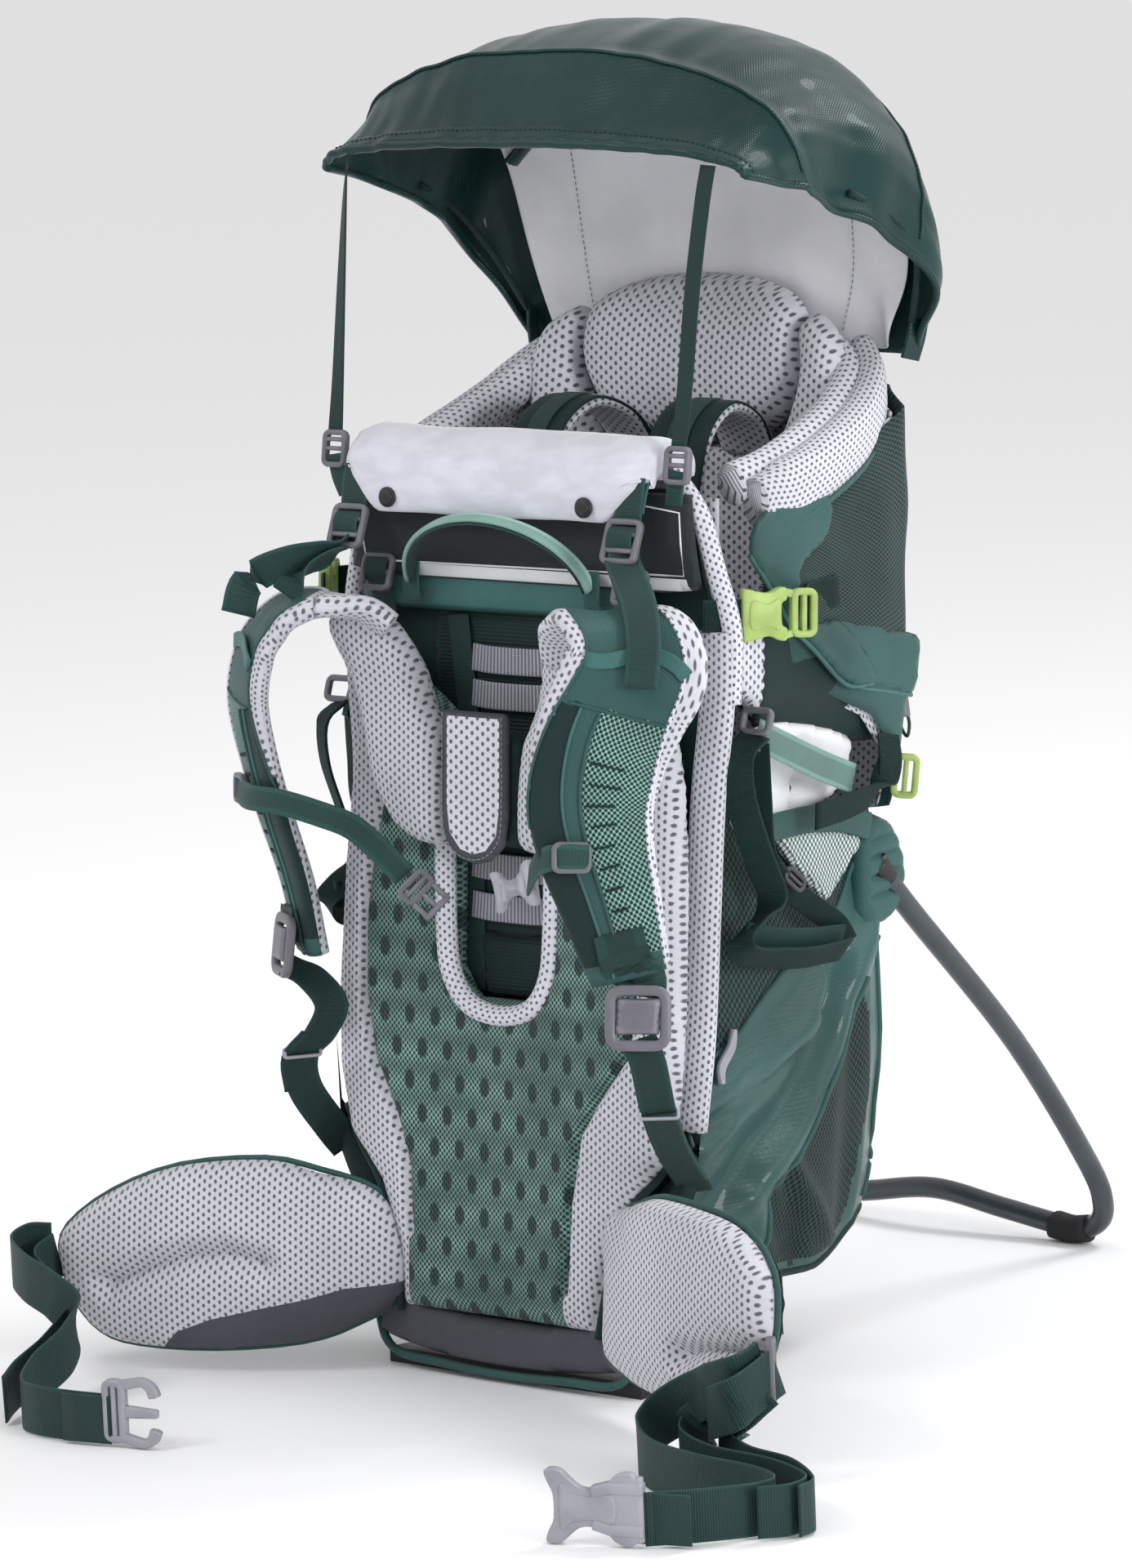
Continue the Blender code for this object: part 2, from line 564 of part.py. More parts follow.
def build_side_buckles(b):
    """Side-release buckle between the back panel and the seat wall on each side."""
    for side, s in SIDES:
        start = Vector((s * 0.205, 0.010, 0.612))
        along = Vector((s * 0.52, 0.85, 0.02)).normalized()
        body = [(-0.020, 0.0), (0.020, 0.0), (0.020, 0.030), (-0.020, 0.030)]
        up = Vector((0, 0, 1))
        origin = start - along.cross(up).normalized() * 0.0055
        b.add("side_buckle_female_" + side, *prism([(u, v) for v, u in body], origin, along, up, 0.011),
              plastic("lime"))
        male = start + along * 0.047
        b.add("side_buckle_male_" + side, *frame_buckle(male, (0, 0, 1), along, 0.038, 0.032, 0.008, 0.007),
              plastic("lime"))


# ---------------------------------------------------------------- canopy

def canopy_point(u, v, inset=0.0):
    """Point of the sun roof: u from left (-1) to right (1), v from the front rim (0) to the rear hem (1)."""
    side = smooth_value(((0.205, 0.012, 0.945), (0.214, 0.075, 0.935), (0.226, 0.150, 0.915),
                         (0.228, 0.225, 0.872), (0.192, 0.272, CANOPY_AXIS[1])), v)
    middle = smooth_value(((0, -0.003, 0.967), (0, 0.045, 1.035), (0, 0.156, 1.069), (0, 0.262, 1.015),
                           (0, 0.283, CANOPY_AXIS[1])), v)
    angle = abs(u) * pi / 2
    rise = cos(angle) ** 0.75 if abs(u) < 1 else 0.0
    width = sin(angle) ** 0.9 if u else 0.0
    point = side.lerp(middle, rise)
    point.x = side.x * width * (1 if u > 0 else -1)
    centre = Vector((0, 0.15, 0.85))
    return point + (centre - point).normalized() * inset


def smooth_value(points, v):
    """Catmull-Rom value at v from 0 to 1."""
    points = [Vector(point) for point in points]
    ends = [2 * points[0] - points[1]] + points + [2 * points[-1] - points[-2]]
    place = min(v * (len(points) - 1), len(points) - 1 - 1e-6)
    k = int(place)
    t = place - k
    return curve_between(*ends[k:k + 4], t)


def canopy_shell(inset, thick, u_steps=14, v_steps=12, v_range=(0.0, 1.0), u_range=1.0):
    """Closed shell between two insets of the roof surface."""
    vertices, faces = [], []
    for layer in (inset, inset + thick):
        for i in range(u_steps + 1):
            for j in range(v_steps + 1):
                u = u_range * (2 * i / u_steps - 1)
                v = v_range[0] + (v_range[1] - v_range[0]) * j / v_steps
                vertices.append(canopy_point(u, v, layer))
    columns = v_steps + 1
    layer_size = (u_steps + 1) * columns

    def index(layer, i, j):
        return layer * layer_size + i * columns + j

    for i in range(u_steps):
        for j in range(v_steps):
            outer = (index(0, i, j), index(0, i, j + 1), index(0, i + 1, j + 1), index(0, i + 1, j))
            faces.append(outer)
            faces.append(tuple(k + layer_size for k in reversed(outer)))
    border = [(i, 0) for i in range(u_steps)] + [(u_steps, j) for j in range(v_steps)]
    border += [(i, v_steps) for i in range(u_steps, 0, -1)] + [(0, j) for j in range(v_steps, 0, -1)]
    for (i, j), (m, n) in zip(border, border[1:] + border[:1]):
        faces.append((index(0, i, j), index(0, m, n), index(1, m, n), index(1, i, j)))
    return vertices, faces


def build_canopy(b):
    pivot = (0, *CANOPY_AXIS)
    b.add("canopy_roof", *canopy_shell(0.0, 0.0025), fabric("dark_green"), pivot, smooth=True)
    for name, v in (("canopy_front_bow", 0.25), ("canopy_rear_bow", 0.72)):
        path = [canopy_point(0.92 * (2 * k / 24 - 1), v, 0.0140) for k in range(25)]
        b.add(name, *tube_along(path, 0.0025, 6), ("anthracite", 0.4, 0.3), pivot, smooth=True)
    for side, s in SIDES:
        clip = frame_buckle((s * 0.1675, -0.0215, 0.728), (1, 0, 0), (0, 0.1, 1), 0.022, 0.024, 0.006, 0.004)
        b.add("canopy_clip_" + side, *clip, plastic("grey_plastic"), pivot)


def main():
    clear_scene()
    b = Build()
    build_frame(b)
    build_kickstand(b)
    build_back(b)
    build_handle(b)
    build_chin_pad(b)
    build_harness(b)
    build_sternum(b)
    build_hip_belt(b)
    build_bag(b)
    build_cockpit(b)
    build_seat(b)
    build_stirrups(b)
    build_side_buckles(b)
    build_canopy(b)


main()
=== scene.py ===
"""Child carrier backpack: the visual model of its fabrics, meshes, webbings and moulded parts.

Points are given in the pack's own frame (X to the wearer's left, Y to the back, Z up), which leans back
with the standing pack, except for the loose hip webbing, which lies on the floor.
"""

import json
from math import cos, pi, radians, sin, sqrt

import bmesh
import bpy
import numpy as np
from mathutils import Matrix, Vector, noise
from mathutils.geometry import delaunay_2d_cdt
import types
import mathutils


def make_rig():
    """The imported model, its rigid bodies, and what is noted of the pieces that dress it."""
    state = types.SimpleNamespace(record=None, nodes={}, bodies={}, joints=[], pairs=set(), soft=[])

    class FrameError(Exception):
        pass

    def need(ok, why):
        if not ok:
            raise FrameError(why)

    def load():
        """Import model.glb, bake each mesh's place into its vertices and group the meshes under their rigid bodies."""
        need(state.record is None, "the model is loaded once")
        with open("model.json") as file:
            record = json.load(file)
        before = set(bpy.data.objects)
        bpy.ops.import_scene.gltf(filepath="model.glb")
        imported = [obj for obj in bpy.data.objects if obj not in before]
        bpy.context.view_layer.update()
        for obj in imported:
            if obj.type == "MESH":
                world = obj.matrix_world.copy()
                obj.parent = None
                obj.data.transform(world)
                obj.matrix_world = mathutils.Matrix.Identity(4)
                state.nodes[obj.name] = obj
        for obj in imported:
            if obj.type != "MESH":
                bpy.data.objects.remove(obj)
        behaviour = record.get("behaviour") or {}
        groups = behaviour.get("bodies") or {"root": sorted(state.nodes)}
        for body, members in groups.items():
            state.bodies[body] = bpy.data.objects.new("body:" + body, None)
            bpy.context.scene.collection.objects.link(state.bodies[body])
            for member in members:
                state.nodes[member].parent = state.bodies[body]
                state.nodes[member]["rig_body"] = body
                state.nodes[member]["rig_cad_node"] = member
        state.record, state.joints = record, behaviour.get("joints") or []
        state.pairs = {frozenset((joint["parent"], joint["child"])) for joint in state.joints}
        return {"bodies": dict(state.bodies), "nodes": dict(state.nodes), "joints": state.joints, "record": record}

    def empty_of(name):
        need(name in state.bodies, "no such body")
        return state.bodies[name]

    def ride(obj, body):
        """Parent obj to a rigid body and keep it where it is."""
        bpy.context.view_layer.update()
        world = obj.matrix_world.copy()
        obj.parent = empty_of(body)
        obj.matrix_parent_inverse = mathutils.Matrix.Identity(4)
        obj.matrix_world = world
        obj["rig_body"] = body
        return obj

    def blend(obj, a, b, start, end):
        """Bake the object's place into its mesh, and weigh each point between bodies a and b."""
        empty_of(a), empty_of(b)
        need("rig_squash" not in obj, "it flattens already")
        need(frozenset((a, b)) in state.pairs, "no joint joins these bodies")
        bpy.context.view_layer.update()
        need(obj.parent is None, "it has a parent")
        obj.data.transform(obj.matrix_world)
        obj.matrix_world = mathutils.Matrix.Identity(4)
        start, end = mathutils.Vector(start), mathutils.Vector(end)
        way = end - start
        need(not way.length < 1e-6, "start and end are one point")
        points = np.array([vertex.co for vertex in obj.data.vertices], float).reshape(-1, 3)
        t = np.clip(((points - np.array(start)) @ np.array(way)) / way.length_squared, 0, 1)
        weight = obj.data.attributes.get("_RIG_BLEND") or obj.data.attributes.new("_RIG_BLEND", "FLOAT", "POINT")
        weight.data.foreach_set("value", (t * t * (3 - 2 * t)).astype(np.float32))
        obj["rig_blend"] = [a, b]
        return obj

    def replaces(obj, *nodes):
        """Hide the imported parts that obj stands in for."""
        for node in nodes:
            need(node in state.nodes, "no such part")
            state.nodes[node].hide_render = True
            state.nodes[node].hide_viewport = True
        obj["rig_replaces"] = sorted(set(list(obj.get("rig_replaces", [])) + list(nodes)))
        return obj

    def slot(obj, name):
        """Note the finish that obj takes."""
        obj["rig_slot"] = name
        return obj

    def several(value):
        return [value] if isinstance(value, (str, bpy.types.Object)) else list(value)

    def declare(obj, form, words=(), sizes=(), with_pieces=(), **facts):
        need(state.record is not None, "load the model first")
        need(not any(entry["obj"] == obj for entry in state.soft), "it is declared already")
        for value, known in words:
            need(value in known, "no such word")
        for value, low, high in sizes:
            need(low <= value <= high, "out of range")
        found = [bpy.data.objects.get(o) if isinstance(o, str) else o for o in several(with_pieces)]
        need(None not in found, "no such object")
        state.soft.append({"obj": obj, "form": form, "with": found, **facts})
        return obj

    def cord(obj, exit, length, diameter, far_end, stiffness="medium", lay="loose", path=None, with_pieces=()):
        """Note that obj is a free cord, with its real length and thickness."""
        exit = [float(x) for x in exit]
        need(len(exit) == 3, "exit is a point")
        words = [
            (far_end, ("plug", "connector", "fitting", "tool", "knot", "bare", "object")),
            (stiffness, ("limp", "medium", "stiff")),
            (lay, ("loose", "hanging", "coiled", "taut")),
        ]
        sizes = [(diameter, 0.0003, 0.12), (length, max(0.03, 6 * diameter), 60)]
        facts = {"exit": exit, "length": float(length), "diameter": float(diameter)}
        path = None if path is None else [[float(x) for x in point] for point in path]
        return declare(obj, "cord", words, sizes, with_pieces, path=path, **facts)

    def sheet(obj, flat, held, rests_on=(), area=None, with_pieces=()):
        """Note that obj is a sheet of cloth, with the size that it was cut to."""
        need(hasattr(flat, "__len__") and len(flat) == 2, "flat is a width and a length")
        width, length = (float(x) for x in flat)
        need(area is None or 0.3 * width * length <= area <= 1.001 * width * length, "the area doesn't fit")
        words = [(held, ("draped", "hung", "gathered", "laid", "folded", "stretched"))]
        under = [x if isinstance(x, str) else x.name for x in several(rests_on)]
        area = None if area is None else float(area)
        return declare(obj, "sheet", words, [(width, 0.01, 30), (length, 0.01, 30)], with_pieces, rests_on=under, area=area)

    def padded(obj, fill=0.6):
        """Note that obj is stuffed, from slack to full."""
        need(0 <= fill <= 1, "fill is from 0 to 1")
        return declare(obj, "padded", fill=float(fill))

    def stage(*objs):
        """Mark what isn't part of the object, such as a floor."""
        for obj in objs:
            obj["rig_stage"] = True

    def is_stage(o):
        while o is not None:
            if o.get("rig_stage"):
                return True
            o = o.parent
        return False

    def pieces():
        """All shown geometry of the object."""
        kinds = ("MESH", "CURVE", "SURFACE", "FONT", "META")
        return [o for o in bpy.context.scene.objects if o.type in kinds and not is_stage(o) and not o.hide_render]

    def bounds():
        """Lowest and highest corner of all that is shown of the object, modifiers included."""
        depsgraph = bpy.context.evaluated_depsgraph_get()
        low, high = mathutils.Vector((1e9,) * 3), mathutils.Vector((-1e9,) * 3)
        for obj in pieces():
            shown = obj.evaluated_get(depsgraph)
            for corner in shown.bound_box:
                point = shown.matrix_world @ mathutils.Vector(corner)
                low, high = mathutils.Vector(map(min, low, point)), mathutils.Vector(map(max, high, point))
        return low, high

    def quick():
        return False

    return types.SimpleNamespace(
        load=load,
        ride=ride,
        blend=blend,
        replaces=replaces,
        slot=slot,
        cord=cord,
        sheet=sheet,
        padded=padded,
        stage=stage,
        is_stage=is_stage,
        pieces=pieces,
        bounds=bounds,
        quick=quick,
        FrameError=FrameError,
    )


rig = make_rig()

LEAN = radians(4.0)
SIDES = (("left", -1), ("right", 1))
CLOTH_MAP = "cloth"             # UV map in metres of cloth: across and along
WEB_THICK = 0.0016
WEB_HIP = 0.040
WEB_WIDE = 0.025
WEB_NARROW = 0.016
STRAP_ACROSS = (0.80, 0.60, 0.0)
WORLD_LIGHT = 0.80
WING_ANGLE = radians(26.0)
WING_ROOT = (0.094, -0.034)
CANOPY_BASE = (0.272, 0.800)

# Display colours, red, green and blue from 0 to 255
GREEN_DARK = (13, 38, 38)
GREEN_MID = (44, 78, 76)
GREEN_ROOF = (12, 46, 45)
GREEN_LIGHT = (132, 172, 162)
MINT = (154, 194, 182)
MESH_GREY = (210, 211, 220)
MESH_HOLE = (92, 92, 102)
ANTHRACITE = (70, 70, 79)
LINING_GREY = (238, 238, 244)
PLUSH_GREY = (204, 205, 216)
PLASTIC_GREY = (98, 97, 105)
PLASTIC_SILVER = (146, 146, 155)
LIME = (206, 230, 140)
BLACK = (22, 22, 24)
TUBE_GREY = (60, 66, 72)
ALLOY = (150, 152, 156)


def linear(colour):
    """Display colour to the linear values that a shader takes."""
    values = [c / 255 for c in colour]
    return tuple(v / 12.92 if v <= 0.04045 else ((v + 0.055) / 1.055) ** 2.4 for v in values) + (1.0,)


def scaled(colour, factor):
    return tuple(min(255, c * factor) for c in colour)


def lean(point):
    """A point of the pack's frame, where it is when the pack stands."""
    x, y, z = point
    return Vector((x, y * cos(LEAN) + z * sin(LEAN), z * cos(LEAN) - y * sin(LEAN)))


def on_floor(point):
    return Vector(point)


# ---------------------------------------------------------------- camera and stage

def add_camera():
    azimuth, height, roll = radians(37.85), radians(9.51), radians(2.33)
    distance, lens = 5.328, 154.4
    back = Vector((sin(azimuth) * cos(height), -cos(azimuth) * cos(height), sin(height)))
    right = Vector((cos(azimuth), sin(azimuth), 0.0))
    up = back.cross(right)
    target = Vector((0.0, 0.15, 0.452)) - right * 0.036
    data = bpy.data.cameras.new("camera")
    data.lens = lens
    camera = bpy.data.objects.new("camera", data)
    bpy.context.collection.objects.link(camera)
    axes = (right * cos(roll) - up * sin(roll), right * sin(roll) + up * cos(roll), back)
    turn = Matrix([[axis[row] for axis in axes] for row in range(3)]).to_4x4()
    camera.matrix_world = Matrix.Translation(target + back * distance) @ turn
    bpy.context.scene.camera = camera


def add_light(name, place, target, size, energy):
    data = bpy.data.lights.new(name, "AREA")
    data.shape = "DISK"
    data.size = size
    data.energy = energy
    light = bpy.data.objects.new(name, data)
    bpy.context.collection.objects.link(light)
    light.location = place
    light.rotation_euler = (Vector(target) - Vector(place)).to_track_quat("-Z", "Y").to_euler()


def build_stage():
    """Pale floor and soft studio light from above, the left and the right."""
    mesh = bpy.data.meshes.new("floor")
    half = 45.0
    mesh.from_pydata([(-half, -half, 0), (half, -half, 0), (half, half, 0), (-half, half, 0)], [],
                     [(0, 1, 2, 3)])
    floor = bpy.data.objects.new("floor", mesh)
    bpy.context.collection.objects.link(floor)
    material = bpy.data.materials.new("floor_paint")
    material.use_nodes = True
    shader = material.node_tree.nodes["Principled BSDF"]
    shader.inputs["Base Color"].default_value = (0.93, 0.93, 0.94, 1.0)
    shader.inputs["Roughness"].default_value = 0.95
    mesh.materials.append(material)
    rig.stage(floor)
    world = bpy.data.worlds.new("studio")
    world.use_nodes = True
    world.node_tree.nodes["Background"].inputs["Color"].default_value = (1.0, 1.0, 1.0, 1.0)
    world.node_tree.nodes["Background"].inputs["Strength"].default_value = WORLD_LIGHT
    scene = bpy.context.scene
    scene.world = world
    scene.view_settings.view_transform = "Standard"
    middle = (0.0, 0.1, 0.5)
    add_light("key_light", (-1.4, -2.6, 3.2), middle, 1.2, 34.0)
    add_light("side_light", (3.2, -0.4, 1.1), middle, 1.0, 46.0)
    add_light("rear_light", (1.2, 2.4, 3.4), middle, 1.4, 60.0)


# ---------------------------------------------------------------- materials

class Finish:
    """A principled material, with short calls for the nodes that the fabrics share."""

    def __init__(self, name, roughness, metallic=0.0, sheen=0.0, coat=0.0, specular=0.25):
        self.material = bpy.data.materials.new(name)
        self.material.use_nodes = True
        self.tree = self.material.node_tree
        self.shader = self.tree.nodes["Principled BSDF"]
        self.shader.inputs["Roughness"].default_value = roughness
        self.shader.inputs["Metallic"].default_value = metallic
        self.shader.inputs["Sheen Weight"].default_value = sheen
        self.shader.inputs["Coat Weight"].default_value = coat
        self.shader.inputs["Specular IOR Level"].default_value = specular
        self.cloth = self.node("ShaderNodeUVMap", uv_map=CLOTH_MAP).outputs["UV"]
        self.solid = self.node("ShaderNodeTexCoord").outputs["Object"]

    def node(self, kind, **settings):
        node = self.tree.nodes.new(kind)
        for key, value in settings.items():
            setattr(node, key, value)
        return node

    def feed(self, socket, value):
        if isinstance(value, bpy.types.NodeSocket):
            self.tree.links.new(value, socket)
        else:
            socket.default_value = value

    def math(self, operation, *values):
        node = self.node("ShaderNodeMath", operation=operation)
        for socket, value in zip(node.inputs, values):
            self.feed(socket, value)
        return node.outputs[0]

    def vector(self, operation, *values):
        node = self.node("ShaderNodeVectorMath", operation=operation)
        for socket, value in zip(node.inputs, values):
            self.feed(socket, value)
        return node.outputs["Value" if operation in ("LENGTH", "DOT_PRODUCT") else "Vector"]

    def mix(self, factor, low, high):
        node = self.node("ShaderNodeMix", data_type="RGBA")
        self.feed(node.inputs[0], factor)
        self.feed(node.inputs[6], low)
        self.feed(node.inputs[7], high)
        return node.outputs[2]

    def step(self, value, low, high):
        """0 below low, 1 above high and smooth between."""
        node = self.node("ShaderNodeMapRange", interpolation_type="SMOOTHSTEP")
        for socket, number in zip(node.inputs, (value, low, high, 0.0, 1.0)):
            self.feed(socket, number)
        return node.outputs[0]

    def noise(self, scale, detail=2.0, stretch=(1.0, 1.0, 1.0)):
        node = self.node("ShaderNodeTexNoise")
        self.feed(node.inputs["Vector"], self.vector("MULTIPLY", self.solid, stretch))
        node.inputs["Scale"].default_value = scale
        node.inputs["Detail"].default_value = detail
        return node.outputs["Fac"]

    def waves(self, direction, pitch):
        """Ribs across a direction of the cloth, from 0 to 1."""
        turns = self.vector("DOT_PRODUCT", self.cloth, tuple(2 * pi * d / pitch for d in direction) + (0.0,))
        return self.math("MULTIPLY_ADD", self.math("SINE", turns), 0.5, 0.5)

    def spots(self, pitch, radius, shift=(0.0, 0.0)):
        """Distance from the nearest spot of a grid, as a share of the spot's radius."""
        cells = self.vector("MULTIPLY_ADD", self.cloth, (1 / pitch[0], 1 / pitch[1], 0.0), (*shift, 0.0))
        centred = self.vector("SUBTRACT", self.vector("FRACTION", cells), (0.5, 0.5, 0.0))
        return self.vector("LENGTH", self.vector("MULTIPLY", centred,
                                                 (pitch[0] / radius[0], pitch[1] / radius[1], 0.0)))

    def holes(self, pitch, radius, soft=0.35):
        """0 inside staggered holes and 1 between them."""
        nearest = self.math("MINIMUM", self.spots(pitch, radius), self.spots(pitch, radius, (0.5, 0.5)))
        return self.step(nearest, 1.0 - soft, 1.0 + soft)

    def varied(self, colour, amount, scale=9.0, stretch=(1.0, 1.0, 1.0)):
        """The colour, a little darker and lighter from place to place."""
        cloud = self.step(self.noise(scale, 3.0, stretch), 0.3, 0.7)
        return self.mix(cloud, linear(scaled(colour, 1 - amount)), linear(scaled(colour, 1 + amount)))

    def finish(self, colour, height, depth):
        """Connect the colour and a relief of the given depth in metres."""
        self.tree.links.new(colour, self.shader.inputs["Base Color"])
        bump = self.node("ShaderNodeBump")
        bump.inputs["Distance"].default_value = depth
        self.tree.links.new(height, bump.inputs["Height"])
        self.tree.links.new(bump.outputs["Normal"], self.shader.inputs["Normal"])
        return self.material


def perforated(name, colour, hole, pitch, radius, depth=0.0010, shine=0.0):
    """Knitted spacer mesh with staggered holes."""
    f = Finish(name, 0.82, sheen=0.25, coat=shine)
    open_part = f.holes(pitch, radius)
    knit = f.waves((0.7, 0.7), 0.0011)
    body = f.mix(f.math("MULTIPLY", knit, 0.25), f.varied(colour, 0.04), linear(scaled(colour, 0.86)))
    height = f.math("MULTIPLY_ADD", knit, 0.10, open_part)
    return f.finish(f.mix(open_part, linear(hole), body), height, depth)


def spacer_mesh(name):
    """Green two-layer mesh: a fine light net over darker cushions in staggered rows, with painted highlight bands on
    the net between the rows.
    """
    f = Finish(name, 0.72, sheen=0.2)
    net = f.holes((0.0042, 0.0050), (0.00105, 0.00150), 0.45)
    pads = f.math("MINIMUM", f.spots((0.024, 0.052), (0.0046, 0.0080)),
                  f.spots((0.024, 0.052), (0.0046, 0.0080), (0.5, 0.5)))
    between = f.step(pads, 0.80, 1.20)
    # Painted highlight: lighter horizontal bands across the net between the rows of cushions, standing in for light
    # falling on the raised mesh.
    painted_highlight_bands = f.waves((0.0, 1.0), 0.025)
    patches = f.step(f.noise(16.0, 3.0), 0.35, 0.70)
    # How pale the net's thread is: the painted highlight bands, varied by random patches of tone.
    light = f.math("MULTIPLY", f.math("MULTIPLY_ADD", painted_highlight_bands, 0.35, 0.50),
                   f.math("MULTIPLY_ADD", patches, 0.55, 0.55))
    thread = f.mix(light, linear(GREEN_MID), linear(scaled(GREEN_LIGHT, 1.12)))
    under = f.mix(f.noise(40.0), linear(scaled(GREEN_DARK, 0.8)), linear(scaled(GREEN_MID, 0.75)))
    woven = f.mix(net, under, thread)
    deep = f.mix(net, linear(scaled(GREEN_DARK, 0.8)), linear(scaled(GREEN_MID, 0.85)))
    height = f.math("MULTIPLY_ADD", between, 1.2, net)
    return f.finish(f.mix(between, deep, woven), height, 0.0010)


def open_net(name, thread, gap, pitch, radius, depth=0.0008):
    """Net with large open cells."""
    f = Finish(name, 0.7, sheen=0.1)
    net = f.holes(pitch, radius, 0.30)
    return f.finish(f.mix(net, linear(gap), f.varied(thread, 0.08, 20.0)), net, depth)


def webbing(name, colour, half_width=0.0, rib=0.0016, shine=0.0, contrast=0.20):
    """Woven strap: ribs across it, a fine weave along it and slightly paler edges."""
    f = Finish(name, 0.58, sheen=0.05, coat=shine)
    ribs = f.waves((0.0, 1.0), rib)
    yarns = f.waves((1.0, 0.0), 0.0012)
    weave = f.math("MULTIPLY_ADD", yarns, 0.35, ribs)
    body = f.mix(f.math("MULTIPLY", weave, 0.5), f.varied(scaled(colour, 1.0 - contrast), 0.06, 30.0),
                 linear(scaled(colour, 1.0 + contrast)))
    if half_width:
        across = f.math("ABSOLUTE", f.vector("DOT_PRODUCT", f.cloth, (1.0, 0.0, 0.0)))
        edge = f.step(across, half_width - 0.0026, half_width - 0.0012)
        body = f.mix(f.math("MULTIPLY", edge, 0.35), body, linear(scaled(colour, 1.45)))
    return f.finish(body, weave, 0.00035)


def nylon(name, colour, roughness=0.46, amount=0.10, sheen=0.04, twill=0.0011, crumple=0.6, coat=0.0):
    """Coated woven cloth with a diagonal weave and soft crumples."""
    f = Finish(name, roughness, sheen=sheen, coat=coat)
    weave = f.math("ADD", f.waves((0.75, 0.65), twill),
                   f.math("MULTIPLY", f.waves((-0.3, 1.0), twill * 1.7), 0.5))
    folds = f.noise(18.0, 2.0, (1.0, 0.6, 0.7))
    fine = f.math("MULTIPLY", weave, 0.035)
    height = f.math("MULTIPLY_ADD", folds, crumple, fine)
    body = f.mix(f.math("MULTIPLY", weave, 0.22), f.varied(colour, amount), linear(scaled(colour, 1.3)))
    return f.finish(body, height, 0.0050)


def plush(name, colour):
    """Short brushed pile."""
    f = Finish(name, 0.95, sheen=0.8)
    pile = f.noise(900.0, 3.0)
    brushed = f.noise(34.0, 4.0, (1.0, 1.0, 2.0))
    tone = f.mix(f.step(brushed, 0.35, 0.65), linear(scaled(colour, 0.97)), linear(scaled(colour, 1.03)))
    height = f.math("MULTIPLY_ADD", pile, 0.25, brushed)
    return f.finish(tone, height, 0.0012)


def moulded(name, colour, roughness=0.42, metallic=0.0, coat=0.0):
    """Moulded or painted part: fine grain, slightly uneven gloss and paler worn edges."""
    f = Finish(name, roughness, metallic=metallic, coat=coat, specular=0.5)
    grain = f.noise(1500.0, 2.0)
    rub = f.noise(60.0, 4.0)
    edge = f.step(f.node("ShaderNodeNewGeometry").outputs["Pointiness"], 0.53, 0.62)
    worn = f.math("MULTIPLY", edge, f.math("MULTIPLY_ADD", rub, 0.5, 0.1))
    gloss = f.math("MULTIPLY_ADD", rub, 0.20, roughness - 0.10)
    f.tree.links.new(gloss, f.shader.inputs["Roughness"])
    return f.finish(f.mix(worn, f.varied(colour, 0.05, 40.0), linear(scaled(colour, 1.5))), grain, 0.00012)


